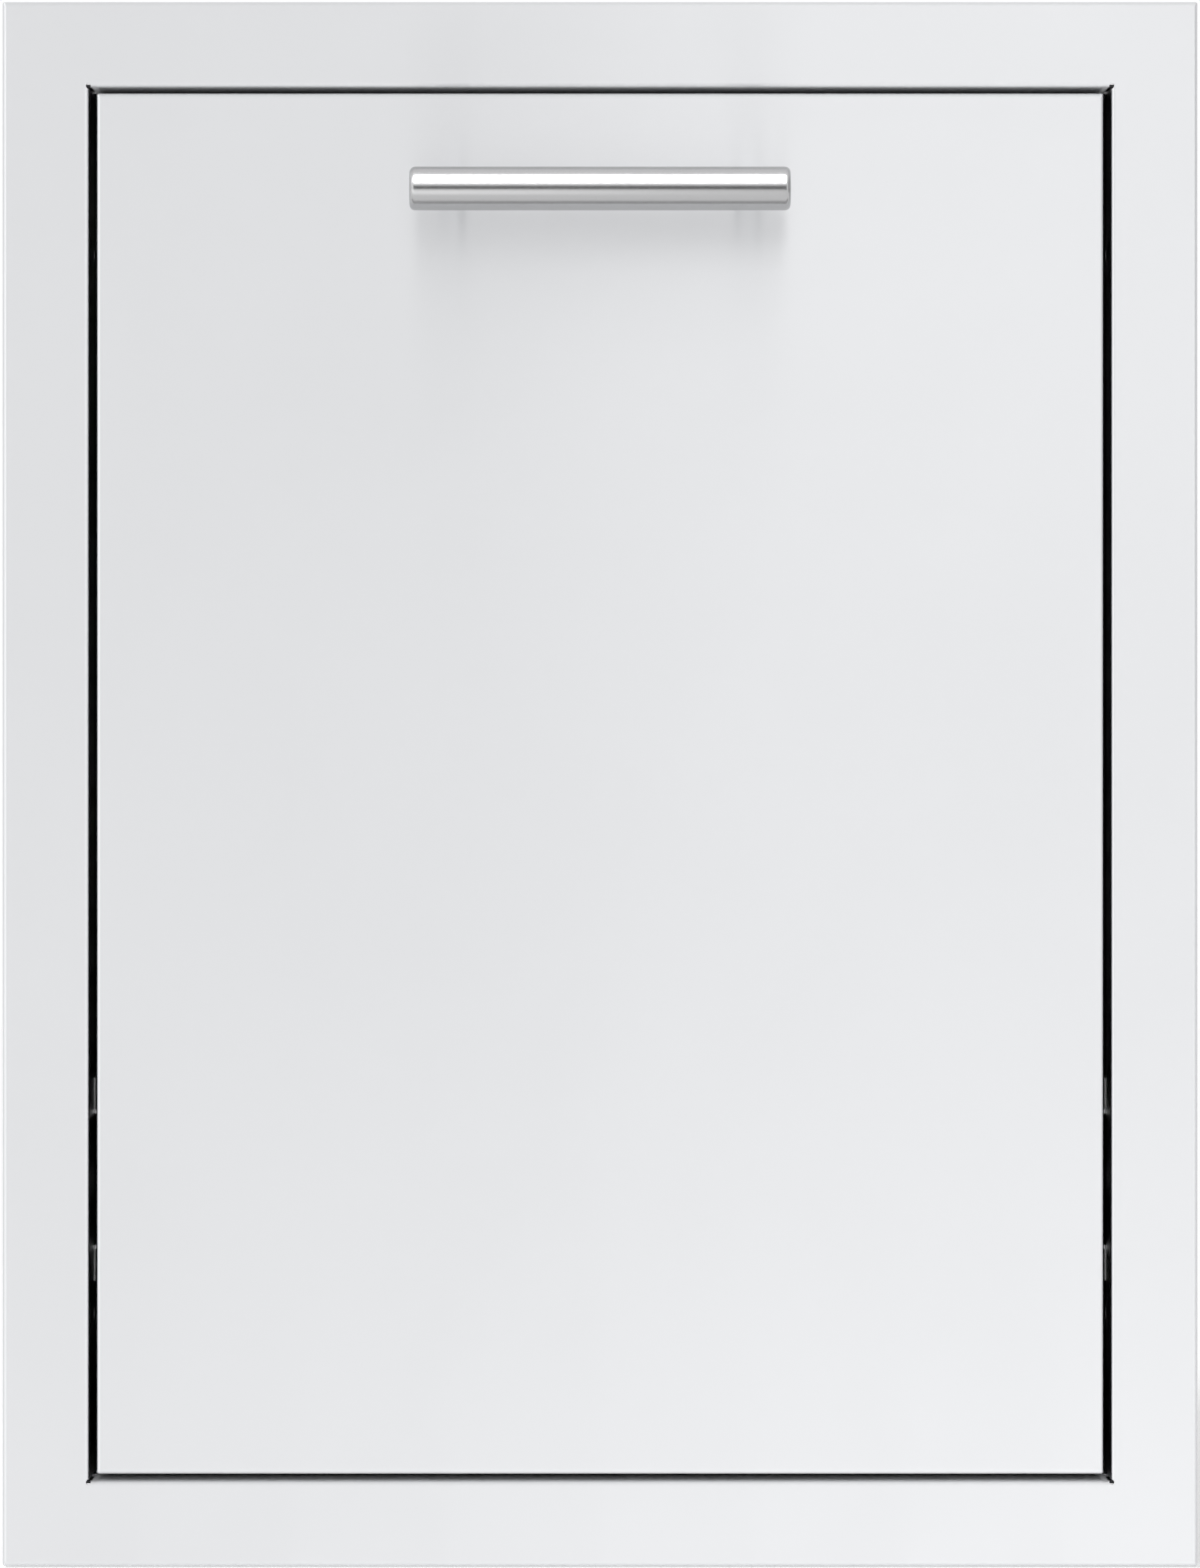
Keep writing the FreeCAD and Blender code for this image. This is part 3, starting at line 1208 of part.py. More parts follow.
def build_drawer_slide_screws():
    screw = round_head("Dims.screw_radius", "Dims.slide_sheet + Dims.drawer_sheet + Dims.screw_reach",
                       "Dims.screw_head_radius", "Dims.screw_head_height")
    group("drawer_slide_screws",
          [placed(screw, f"{side} * (Places.slide_face - Places.inner_web_x)", f"Places.slide_front + {y}",
                  "Places.slide_level", (side, 0, 0))
           for side in SIDES for y in inner_screw_rows()])


def build_drawer_front_screws():
    screw = round_head("Dims.screw_radius", "Dims.liner_sheet + Dims.drawer_sheet + Dims.screw_reach",
                       "Dims.screw_head_radius", "Dims.screw_head_height")
    spots = [(x, FLOOR_SCREW_Z) for x in floor_front_rows()]
    for side in SIDES:
        spots += [(f"{side} * Places.wall_flange_x", z) for z in wall_front_rows()]
        spots += [(f"{side} * (Places.wall_flange_x - Dims.drawer_sheet)", z) for z in gusset_front_rows()]
    group("drawer_front_screws",
          [placed(screw, x, "Places.front_back + Dims.drawer_sheet", z, (0, 1, 0)) for x, z in spots])


def build_drawer_rivets():
    pair = rivet("2 * Dims.drawer_sheet")
    loose = rivet("2 * Dims.drawer_sheet + Dims.drawer_fit")
    shapes = []
    for side in SIDES:
        column = f"{side} * Places.wall_flange_x"
        shapes += [placed(pair, column, y, "Places.floor_top", (0, 0, 1)) for y in floor_rows()]
        shapes += [placed(pair, column, "Places.drawer_rear", z, (0, 1, 0)) for z in drawer_back_rows()]
        shapes += [placed(pair, f"{side} * Places.gusset_inside", y, GUSSET_RIVET_Z, (-side, 0, 0))
                   for y in gusset_rows()]
        shapes.append(placed(loose, f"{side} * (Places.divider_end - Dims.drawer_sheet)",
                             "Places.bay_middle", "Places.divider_rivet", (-side, 0, 0)))
    group("drawer_rivets", shapes)


def build_handle_screws():
    screw = round_head("Dims.handle_screw_radius",
                       "Dims.backing_sheet + Dims.face_sheet + Dims.handle_screw_grip",
                       "Dims.handle_screw_head_radius", "Dims.handle_screw_head_height")
    group("handle_screws",
          [placed(screw, f"{side} * Places.post_x", "Places.skin_back + Dims.backing_sheet",
                  "Places.handle_level", (0, 1, 0)) for side in SIDES])


def build_access_plugs():
    plug = round_head("Dims.access_radius - Dims.fastener_fit", "Dims.plug_depth",
                      "Dims.access_radius + Dims.plug_overlap", "Dims.plug_height")
    group("handle_access_plugs",
          [placed(plug, f"{side} * Places.post_x", "Places.front_back", "Places.handle_level", (0, 1, 0))
           for side in SIDES])


# Build everything

def build_cabinet():
    build_face_frame()
    build_level_panel("top_panel", 1)
    build_level_panel("bottom_panel", -1)
    build_back_panel()
    for side in SIDES:
        build_side_panel(side)
        build_slide_bracket(side)
        build_outer_member(side)
        build_bumper(side)
    build_cabinet_rivets()
    build_cabinet_screws()


def build_slides():
    outer = ("Places.outer_ball_x", "Places.outer_ball_z")
    inner = ("Places.inner_ball_x", "Places.inner_ball_z")
    for side in SIDES:
        build_middle_member(side)
        build_cage(side, "outer_ball_cage", "Places.outer_cage_x", *outer, "Places.outer_leg_end")
        build_balls(side, "outer_balls", *outer)
        build_cage(side, "inner_ball_cage", "Places.inner_cage_x", *inner, "Places.inner_leg_end")
        build_balls(side, "inner_balls", *inner)
        build_inner_member(side)
        build_release_lever(side)


def build_drawer():
    build_front_pan()
    build_front_liner()
    build_backing_plate()
    build_handle_bar()
    build_drawer_floor()
    build_drawer_back()
    build_bin_divider()
    for side in SIDES:
        build_handle_cap(side)
        build_handle_post(side)
        build_drawer_side(side)
        build_front_gusset(side)
    build_handle_screws()
    build_access_plugs()
    build_drawer_slide_screws()
    build_drawer_front_screws()
    build_drawer_rivets()


def check_document():
    doc.recompute()
    for item in doc.Objects:
        if "Invalid" in item.State or "Error" in item.State:
            raise RuntimeError(f"{item.Label} is in error")
    for piece in pieces:
        if piece.Shape.isNull() or not piece.Shape.isValid() or not piece.Shape.Solids:
            raise RuntimeError(f"{piece.Label} has no valid solid")


fill_sheet("Dims", [(name, str(value)) for name, value in SIZES.items()])
doc.recompute()
places = fill_sheet("Places", [(name, f"={text}") for name, text in PLACES.items()])
doc.recompute()

build_cabinet()
build_slides()
build_drawer()
build_bin("front_bin", "Places.front_bin_y")
build_bin("rear_bin", "Places.rear_bin_y")
check_document()

os.makedirs("parts", exist_ok=True)
for piece in pieces:
    piece.Shape.exportStep(f"parts/{piece.Label}.step")
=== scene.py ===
"""Looks of the built-in double trash drawer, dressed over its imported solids.

Metres, in the part's own frame: +X right, +Y into the island, +Z up. The drawer opens along -Y.
"""
import json
import math

import bmesh
import bpy
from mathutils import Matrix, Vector


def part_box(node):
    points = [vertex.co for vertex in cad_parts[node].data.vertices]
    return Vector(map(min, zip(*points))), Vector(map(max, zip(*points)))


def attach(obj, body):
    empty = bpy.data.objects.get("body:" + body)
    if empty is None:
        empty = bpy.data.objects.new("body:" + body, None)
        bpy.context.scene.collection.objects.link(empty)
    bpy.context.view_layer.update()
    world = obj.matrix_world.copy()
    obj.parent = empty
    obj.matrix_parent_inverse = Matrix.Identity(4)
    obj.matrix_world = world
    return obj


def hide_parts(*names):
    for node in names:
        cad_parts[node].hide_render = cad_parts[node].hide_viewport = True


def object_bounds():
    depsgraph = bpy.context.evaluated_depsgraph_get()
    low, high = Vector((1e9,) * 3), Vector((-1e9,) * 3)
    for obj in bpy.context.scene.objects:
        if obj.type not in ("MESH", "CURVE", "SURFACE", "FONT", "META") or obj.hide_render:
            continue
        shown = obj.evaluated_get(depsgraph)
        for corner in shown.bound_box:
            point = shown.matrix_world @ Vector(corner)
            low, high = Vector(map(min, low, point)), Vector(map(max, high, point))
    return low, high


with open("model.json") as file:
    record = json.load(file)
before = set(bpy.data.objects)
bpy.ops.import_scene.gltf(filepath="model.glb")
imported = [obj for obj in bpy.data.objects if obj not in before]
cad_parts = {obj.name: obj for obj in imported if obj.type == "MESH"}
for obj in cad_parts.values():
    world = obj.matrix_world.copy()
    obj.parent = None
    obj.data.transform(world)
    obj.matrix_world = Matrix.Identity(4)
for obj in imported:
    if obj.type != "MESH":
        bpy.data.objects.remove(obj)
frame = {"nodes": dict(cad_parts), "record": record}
cad_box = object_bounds()

MM = 0.001

# Picture: the face frame fills the photograph's height, less a thin margin
IMAGE_HEIGHT = 1568
FRAME_HEIGHT_PX = 1564.8
CAMERA_DISTANCE = 3.2
SENSOR = 0.036

# Studio; the foot lamps are graded over this width, from the left's brightness to the right's
CENTRE = (0, 0, 0)
FLOOR_DROP = 0.0006
STRIP_DROP = 0.0005
FLOOR_SIZE = 14.0
FOOT_GRADE = 0.4
FOOT_STEPS = 6
FOOT_LEFT = 0.28
FOOT_RIGHT = 0.50
FRONT_REACH = 1.6

# Painted shade: the cut front edges of the cabinet's sheet are coloured near black, standing in for the dark
# that the frame's corner notches look into
SHADED_EDGE_BAND = 0.2 * MM
EDGE_SHADE_COLOUR = (0.09, 0.09, 0.095, 1.0)

# Fastener details
TURNED_SIDES = 24
SHARP_ANGLE = math.radians(35)
SAME_LEVEL = 1e-5
RIVET_UPSET = 0.9 * MM
THREAD_PITCH = 1.4 * MM
COLLAR_LENGTH = 1.2 * MM
THREAD_RUN_OUT = 1.6 * MM
SCREW_SEED = 7
WELD_PITCH = 45 * MM
WELD_END = 28 * MM


# Node helpers

def node(tree, kind, inputs=None, **settings):
    """Add a node; inputs are plain values or sockets to link from."""
    item = tree.nodes.new(kind)
    for name, value in settings.items():
        setattr(item, name, value)
    for name, value in (inputs or {}).items():
        if isinstance(value, bpy.types.NodeSocket):
            tree.links.new(value, item.inputs[name])
        else:
            item.inputs[name].default_value = value
    return item


def new_group(name, kind, inputs, outputs):
    """A node group with named sockets; returns it with its input and output nodes."""
    group = bpy.data.node_groups.new(name, kind)
    for label, socket, value in inputs:
        made = group.interface.new_socket(label, in_out="INPUT", socket_type=socket)
        if value is not None:
            made.default_value = value
    for label, socket in outputs:
        group.interface.new_socket(label, in_out="OUTPUT", socket_type=socket)
    return group, group.nodes.new("NodeGroupInput"), group.nodes.new("NodeGroupOutput")


def maths(tree, operation, first, second=0.0):
    return node(tree, "ShaderNodeMath", {0: first, 1: second}, operation=operation).outputs[0]


def spread_value(tree, value, low, high):
    """Map 0..1 to low..high."""
    return node(tree, "ShaderNodeMapRange", {"Value": value, "To Min": low, "To Max": high}).outputs[0]


def pick_out(tree, value, low, high, interpolation="LINEAR"):
    """Map low..high to 0..1, and cut off what lies outside."""
    return node(tree, "ShaderNodeMapRange", {"Value": value, "From Min": low, "From Max": high},
                interpolation_type=interpolation).outputs[0]


def mix_colours(tree, fac, first, second):
    return node(tree, "ShaderNodeMix", {0: fac, 6: first, 7: second}, data_type="RGBA").outputs[2]


def stretched(tree, place, amounts):
    return node(tree, "ShaderNodeVectorMath", {0: place, 1: amounts}, operation="MULTIPLY").outputs[0]


def noise(tree, place, scale, detail=2.0, roughness=0.5, distortion=0.0):
    return node(tree, "ShaderNodeTexNoise", {"Vector": place, "Scale": scale, "Detail": detail,
                                             "Roughness": roughness, "Distortion": distortion}).outputs["Fac"]


def object_place(tree):
    return node(tree, "ShaderNodeTexCoord").outputs["Object"]


# Shared surface effects

def build_brushed_grain():
    """Fine parallel streaks; Stretch is how many streaks per metre along each axis."""
    group, given, result = new_group(
        "brushed_grain", "ShaderNodeTree",
        [("Stretch", "NodeSocketVector", (6.0, 900.0, 900.0))],
        [("Streaks", "NodeSocketFloat"), ("Height", "NodeSocketFloat")])
    scaled = stretched(group, object_place(group), given.outputs["Stretch"])
    fine = noise(group, scaled, 1.0, detail=3.0, roughness=0.65)
    wide = node(group, "ShaderNodeVectorMath", {0: scaled, "Scale": 0.13}, operation="SCALE").outputs[0]
    bands = noise(group, wide, 1.0)
    both = node(group, "ShaderNodeMix", {0: 0.4, 2: fine, 3: bands}, data_type="FLOAT").outputs[0]
    group.links.new(both, result.inputs["Streaks"])
    group.links.new(fine, result.inputs["Height"])
    return group


def build_handling_marks():
    """Soft cloudy patches where a surface has been wiped and handled."""
    group, given, result = new_group(
        "handling_marks", "ShaderNodeTree", [("Size", "NodeSocketFloat", 0.12)],
        [("Mask", "NodeSocketFloat")])
    scale = maths(group, "DIVIDE", 1.0, given.outputs["Size"])
    cloud = noise(group, object_place(group), scale, detail=4.0, roughness=0.55, distortion=0.4)
    group.links.new(pick_out(group, cloud, 0.35, 0.7, "SMOOTHSTEP"), result.inputs["Mask"])
    return group


def build_moulded_skin():
    """The fine spark-eroded texture of moulded plastic."""
    group, given, result = new_group(
        "moulded_skin", "ShaderNodeTree", [("Grain", "NodeSocketFloat", 0.0012)],
        [("Height", "NodeSocketFloat"), ("Tone", "NodeSocketFloat")])
    place = object_place(group)
    scale = maths(group, "DIVIDE", 1.0, given.outputs["Grain"])
    group.links.new(noise(group, place, scale), result.inputs["Height"])
    group.links.new(noise(group, place, 9.0, detail=3.0), result.inputs["Tone"])
    return group


def build_scuffs():
    """Thin scattered scratches, as bins and slides pick up in use."""
    group, given, result = new_group(
        "scuffs", "ShaderNodeTree",
        [("Stretch", "NodeSocketVector", (40.0, 40.0, 6.0)), ("Amount", "NodeSocketFloat", 0.5)],
        [("Mask", "NodeSocketFloat")])
    place = object_place(group)
    lines = noise(group, stretched(group, place, given.outputs["Stretch"]), 5.0, distortion=0.6)
    thin = pick_out(group, lines, 0.66, 0.72)
    patches = pick_out(group, noise(group, place, 14.0), 0.45, 0.6)
    mask = maths(group, "MULTIPLY", thin, patches)
    group.links.new(maths(group, "MULTIPLY", mask, given.outputs["Amount"]), result.inputs["Mask"])
    return group


BRUSHED_GRAIN = build_brushed_grain()
HANDLING_MARKS = build_handling_marks()
MOULDED_SKIN = build_moulded_skin()
SCUFFS = build_scuffs()


# Materials

def new_material(name):
    material = bpy.data.materials.new(name)
    material.use_nodes = True
    tree = material.node_tree
    tree.nodes.clear()
    shader = tree.nodes.new("ShaderNodeBsdfPrincipled")
    out = tree.nodes.new("ShaderNodeOutputMaterial")
    tree.links.new(shader.outputs["BSDF"], out.inputs["Surface"])
    return material, tree, shader


def shade(tree, colour, fac, change):
    """A colour made lighter and darker by up to change as fac goes from 1 to 0."""
    dark = [c * (1 - change) for c in colour] + [1.0]
    light = [min(1.0, c * (1 + change)) for c in colour] + [1.0]
    return mix_colours(tree, fac, dark, light)


def painted_edge_shade(tree, tone, front):
    """The tone, with painted shade: near black on the sheet's cut edge that faces the front at this level,
    standing in for the dark seen through the frame's corner notches.
    """
    level = node(tree, "ShaderNodeSeparateXYZ", {0: object_place(tree)}).outputs["Y"]
    # painted shade: near black stands in for the dark that the frame's corner notches look into
    in_edge_shade = maths(tree, "LESS_THAN", level, front + SHADED_EDGE_BAND)
    return mix_colours(tree, in_edge_shade, tone, EDGE_SHADE_COLOUR)


def metal(name, colour, roughness, stretch, grain, marks, bump, anisotropic=0.0, shade_edge_at=None):
    """Sheet or bar metal with brushed streaks and faint handling marks.

    An anisotropic sheet is brushed level, and spreads what it mirrors up and down. Where a cut edge level is
    given, the sheet's cut front edge there is painted near black as shade.
    """
    material, tree, shader = new_material(name)
    streaks = node(tree, "ShaderNodeGroup", node_tree=BRUSHED_GRAIN)
    streaks.inputs["Stretch"].default_value = stretch
    wiped = node(tree, "ShaderNodeGroup", node_tree=HANDLING_MARKS)
    tone = shade(tree, colour, streaks.outputs["Streaks"], grain)
    # painted shade: the sheet's cut front edge is coloured near black for the dark behind the frame
    if shade_edge_at is not None:
        tone = painted_edge_shade(tree, tone, shade_edge_at)
    tree.links.new(tone, shader.inputs["Base Color"])
    rough = spread_value(tree, streaks.outputs["Streaks"], roughness - 2 * grain, roughness + 2 * grain)
    rough = maths(tree, "ADD", rough, maths(tree, "MULTIPLY", wiped.outputs["Mask"], marks))
    tree.links.new(rough, shader.inputs["Roughness"])
    shader.inputs["Metallic"].default_value = 1.0
    shader.inputs["Anisotropic"].default_value = anisotropic
    if anisotropic:
        across = node(tree, "ShaderNodeCombineXYZ", {"Y": 0.05, "Z": 1.0})
        tree.links.new(across.outputs[0], shader.inputs["Tangent"])
    raised = node(tree, "ShaderNodeBump", {"Strength": bump, "Distance": 0.00005,
                                           "Height": streaks.outputs["Height"]})
    tree.links.new(raised.outputs[0], shader.inputs["Normal"])
    return material


def plastic(name, colour, roughness, grain, bump, scuffed):
    """Moulded plastic with a fine skin texture, and pale scuffs where it is handled."""
    material, tree, shader = new_material(name)
    skin = node(tree, "ShaderNodeGroup", node_tree=MOULDED_SKIN)
    skin.inputs["Grain"].default_value = grain
    worn = node(tree, "ShaderNodeGroup", node_tree=SCUFFS)
    worn.inputs["Amount"].default_value = scuffed
    base = shade(tree, colour, skin.outputs["Tone"], 0.08)
    pale = [min(1.0, c * 1.6 + 0.02) for c in colour] + [1.0]
    tree.links.new(mix_colours(tree, worn.outputs["Mask"], base, pale), shader.inputs["Base Color"])
    rough = spread_value(tree, skin.outputs["Tone"], roughness - 0.06, roughness + 0.06)
    rough = maths(tree, "ADD", rough, maths(tree, "MULTIPLY", worn.outputs["Mask"], 0.2))
    tree.links.new(rough, shader.inputs["Roughness"])
    raised = node(tree, "ShaderNodeBump", {"Strength": bump, "Distance": 0.0003,
                                           "Height": skin.outputs["Height"]})
    tree.links.new(raised.outputs[0], shader.inputs["Normal"])
    return material


def weld_heat(name):
    """Bare sheet with the straw and blue tint that a spot weld leaves."""
    material, tree, shader = new_material(name)
    wiped = node(tree, "ShaderNodeGroup", node_tree=HANDLING_MARKS)
    wiped.inputs["Size"].default_value = 0.02
    straw, blue = (0.50, 0.43, 0.33, 1.0), (0.36, 0.38, 0.46, 1.0)
    tree.links.new(mix_colours(tree, wiped.outputs["Mask"], straw, blue), shader.inputs["Base Color"])
    tree.links.new(spread_value(tree, wiped.outputs["Mask"], 0.35, 0.55), shader.inputs["Roughness"])
    shader.inputs["Metallic"].default_value = 1.0
    return material


ALONG_X = (5.0, 1400.0, 1400.0)
ALONG_Y = (1100.0, 5.0, 1100.0)
LEVEL = (5.0, 5.0, 1100.0)
ROUND_BAR = (1500.0, 60.0, 60.0)
PANEL_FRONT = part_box("left_side_panel")[0][1]

# Colour, roughness, streaks, grain, marks and bump; then anisotropy and the level of a cut edge painted near
# black as shade, where any
METALS = {
    "frame_stainless": ((0.783, 0.790, 0.805), 0.36, ALONG_X, 0.004, 0.01, 0.02, 1.0),
    "front_stainless": ((0.783, 0.790, 0.805), 0.36, ALONG_X, 0.004, 0.01, 0.02, 1.0),
    "handle_stainless": ((0.47, 0.47, 0.475), 0.24, ROUND_BAR, 0.01, 0.02, 0.05),
    "cabinet_stainless": ((0.62, 0.62, 0.63), 0.38, LEVEL, 0.07, 0.03, 0.08, 0.7, PANEL_FRONT),
    "drawer_stainless": ((0.64, 0.64, 0.65), 0.36, LEVEL, 0.07, 0.03, 0.08, 0.7),
    "slide_zinc": ((0.62, 0.64, 0.67), 0.32, ALONG_Y, 0.06, 0.08, 0.1),
    "cage_steel": ((0.55, 0.56, 0.58), 0.36, ALONG_Y, 0.05, 0.08, 0.1),
    "ball_chrome": ((0.82, 0.82, 0.83), 0.10, ROUND_BAR, 0.01, 0.02, 0.0),
    "rivet_aluminium": ((0.72, 0.72, 0.73), 0.35, ALONG_X, 0.03, 0.05, 0.05),
    "screw_steel": ((0.62, 0.62, 0.63), 0.28, ALONG_X, 0.03, 0.05, 0.05),
    "post_satin": ((0.75, 0.755, 0.765), 0.42, ALONG_Y, 0.02, 0.03, 0.05),
}

# Colour, roughness, grain, bump and scuffs
PLASTICS = {
    "bumper_rubber": ((0.025, 0.025, 0.026), 0.75, 0.0008, 0.15, 0.0),
    "lever_plastic": ((0.030, 0.030, 0.032), 0.45, 0.0008, 0.10, 0.0),
    "plug_plastic": ((0.18, 0.18, 0.19), 0.50, 0.0008, 0.12, 0.0),
    "bin_plastic": ((0.16, 0.165, 0.175), 0.48, 0.0012, 0.20, 0.6),
}

MATERIALS = {name: metal(name, *values) for name, values in METALS.items()}
MATERIALS |= {name: plastic(name, *values) for name, values in PLASTICS.items()}

# The handle's posts are turned and left satin, where its bar is drawn and polished
OWN_FINISH = {"handle_left_post": "post_satin", "handle_right_post": "post_satin"}


def dress_solids():
    """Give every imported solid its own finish, or the material of its slot."""
    slots = {part["node"]: part["material_slot"] for part in frame["record"]["subparts"]}
    for name, solid in frame["nodes"].items():
        solid.data.materials.clear()
        solid.data.materials.append(MATERIALS[OWN_FINISH.get(name, slots[name])])


# Fasteners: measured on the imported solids, then set again with their real detail

def islands(name):
    """The corner points of each separate solid in a node's group."""
    work = bmesh.new()
    work.from_mesh(frame["nodes"][name].data)
    bmesh.ops.remove_doubles(work, verts=work.verts, dist=1e-6)
    left = set(work.verts)
    while left:
        found = [left.pop()]
        for corner in found:
            for edge in corner.link_edges:
                other = edge.other_vert(corner)
                if other in left:
                    left.remove(other)
                    found.append(other)
        yield [corner.co.copy() for corner in found]
    work.free()


def measure(points):
    """A turned fastener's seat and facing, and its radii and heights about that seat."""
    low = Vector([min(p[i] for p in points) for i in range(3)])
    high = Vector([max(p[i] for p in points) for i in range(3)])
    size = high - low
    axis = min(range(3), key=lambda i: abs(size[(i + 1) % 3] - size[(i + 2) % 3]))
    middle = (low + high) / 2

    def radius(point):
        away = point - middle
        away[axis] = 0
        return away.length
    head = max(radius(p) for p in points)
    rim = [p[axis] for p in points if radius(p) > 0.98 * head]
    seat = sum(rim) / len(rim)
    way = 1 if high[axis] - seat < seat - low[axis] else -1
    facing = Vector((0, 0, 0))
    facing[axis] = way
    middle[axis] = seat
    levels = [(way * (p[axis] - seat), radius(p)) for p in points]
    end = min(level for level, r in levels)
    return {"seat": middle, "facing": facing, "head": head, "crown": max(level for level, r in levels),
            "shank": max(r for level, r in levels if abs(level) < SAME_LEVEL and r < 0.9 * head),
            "end": end, "tail": max(r for level, r in levels if level < end + SAME_LEVEL)}


def turned_mesh(name, profile):
    """A closed turned shape from radius and height pairs that start and end on the axis."""
    mesh = bpy.data.meshes.new(name)
    work = bmesh.new()
    corners = [work.verts.new((radius, 0, height)) for radius, height in profile]
    edges = [work.edges.new(pair) for pair in zip(corners, corners[1:])]
    bmesh.ops.spin(work, geom=corners + edges, cent=(0, 0, 0), axis=(0, 0, 1), angle=2 * math.pi,
                   steps=TURNED_SIDES, use_merge=True)
    bmesh.ops.remove_doubles(work, verts=work.verts, dist=1e-7)
    bmesh.ops.recalc_face_normals(work, faces=work.faces)
    for face in work.faces:
        face.smooth = True
    work.to_mesh(mesh)
    work.free()
    mesh.set_sharp_from_angle(angle=SHARP_ANGLE)
    return mesh


def dome(radius, height, inner, steps=5):
    """Radius and height pairs over a ball-shaped crown, from its rim to an inner radius."""
    ball = (radius ** 2 + height ** 2) / (2 * height)
    span = [radius + (inner - radius) * i / steps for i in range(steps + 1)]
    return [(r, height - ball + math.sqrt(ball ** 2 - r ** 2)) for r in span]


def rivet_mesh(name, size):
    """A blind rivet with the broken end of its pin showing in the crown."""
    hole, pin = 0.30 * size["head"], 0.24 * size["head"]
    crown = dome(size["head"], size["crown"], hole)
    brim = crown[-1][1]
    end = size["end"]
    tail = [(0, end), (size["tail"], end), (size["tail"], end + RIVET_UPSET),
            (size["shank"], end + RIVET_UPSET), (size["shank"], 0)]
    core = [(hole * 0.96, 0.45 * brim), (pin, 0.45 * brim), (pin * 0.95, 0.80 * brim), (0, 0.86 * brim)]
    return turned_mesh(name, tail + crown + core)


def pan_head_mesh(name, size):
    """A round-headed screw with a cross recess and a coarse thread form on its shank."""
    shank, end, pitch = size["shank"], size["end"], THREAD_PITCH
    root, neck = 0.8 * shank, 0.95 * shank
    point = [(0, end), (0.45 * shank, end + 0.2 * shank), (root, end + shank)]
    turns = int((-end - shank - THREAD_RUN_OUT) / pitch)
    thread = []
    for i in range(turns):
        start = end + shank + i * pitch
        thread += [(root, start + 0.1 * pitch), (shank, start + 0.5 * pitch), (root, start + 0.9 * pitch)]
    collar = [(neck, -COLLAR_LENGTH), (neck, 0)]
    blank = turned_mesh(name, point + thread + collar + dome(size["head"], size["crown"], 0, 7))
    return cut_cross(blank, 0.5 * size["head"], 0.14 * size["head"], 0.35 * size["crown"], size["crown"])


def cut_cross(blank, reach, half_width, floor, top):
    """Cut a tapered cross recess into a head."""
    cutter = bpy.data.meshes.new("cross_cutter")
    work = bmesh.new()
    for wide, deep in ((reach, half_width), (half_width, reach)):
        bar = bmesh.ops.create_cube(work, size=2.0)["verts"]
        for corner in bar:
            taper = 1.0 if corner.co.z > 0 else 0.62
            level = 2 * top if corner.co.z > 0 else floor
            corner.co = (corner.co.x * wide * taper, corner.co.y * deep * taper, level)
    work.to_mesh(cutter)
    work.free()
    screw, cross = (bpy.data.objects.new(mesh.name, mesh) for mesh in (blank, cutter))
    for item in (screw, cross):
        bpy.context.scene.collection.objects.link(item)
    recess = screw.modifiers.new("recess", "BOOLEAN")
    recess.operation = "DIFFERENCE"
    recess.use_self = True
    recess.object = cross
    mesh = settled(screw)
    bpy.data.objects.remove(screw)
    bpy.data.objects.remove(cross)
    mesh.set_sharp_from_angle(angle=SHARP_ANGLE)
    return mesh


def weld_mesh(name):
    """The low ring and dimple that a spot welder's tip leaves."""
    ring = [(0, 0), (3.1, 0), (2.9, 0.10), (2.5, 0.16), (2.1, 0.13), (1.7, 0.05), (0, 0.04)]
    return turned_mesh(name, [(radius * MM, height * MM) for radius, height in ring])


def settled(item):
    """The object's mesh with its modifiers applied."""
    graph = bpy.context.evaluated_depsgraph_get()
    return bpy.data.meshes.new_from_object(item.evaluated_get(graph), depsgraph=graph)


# Setting copies of a shape on places

def build_setting_tree():
    """Sets a copy of a shape on every point, its height axis along the point's facing."""
    tree, given, result = new_group(
        "set_on_places", "GeometryNodeTree",
        [("Places", "NodeSocketGeometry", None), ("Shape", "NodeSocketObject", None),
         ("Finish", "NodeSocketMaterial", None), ("Turn", "NodeSocketFloat", 0.0),
         ("Seed", "NodeSocketInt", SCREW_SEED)],
        [("Pieces", "NodeSocketGeometry")])
    facing = node(tree, "GeometryNodeInputNamedAttribute", {"Name": "facing"}, data_type="FLOAT_VECTOR")
    aligned = node(tree, "FunctionNodeAlignRotationToVector", {"Vector": facing.outputs[0]}, axis="Z")
    turn = node(tree, "FunctionNodeRandomValue", {2: 0.0, 3: given.outputs["Turn"],
                                                  "Seed": given.outputs["Seed"]}, data_type="FLOAT")
    angles = node(tree, "ShaderNodeCombineXYZ", {"Z": turn.outputs[1]})
    spin = node(tree, "FunctionNodeEulerToRotation", {0: angles.outputs[0]})
    rotation = node(tree, "FunctionNodeRotateRotation", {0: aligned.outputs[0], 1: spin.outputs[0]},
                    rotation_space="LOCAL")
    shape = node(tree, "GeometryNodeObjectInfo", {"Object": given.outputs["Shape"]})
    copies = node(tree, "GeometryNodeInstanceOnPoints",
                  {"Points": given.outputs["Places"], "Instance": shape.outputs["Geometry"],
                   "Rotation": rotation.outputs[0]})
    real = node(tree, "GeometryNodeRealizeInstances", {"Geometry": copies.outputs[0]})
    finished = node(tree, "GeometryNodeSetMaterial", {"Geometry": real.outputs[0],
                                                      "Material": given.outputs["Finish"]})
    tree.links.new(finished.outputs[0], result.inputs["Pieces"])
    return tree


SETTING_TREE = build_setting_tree()


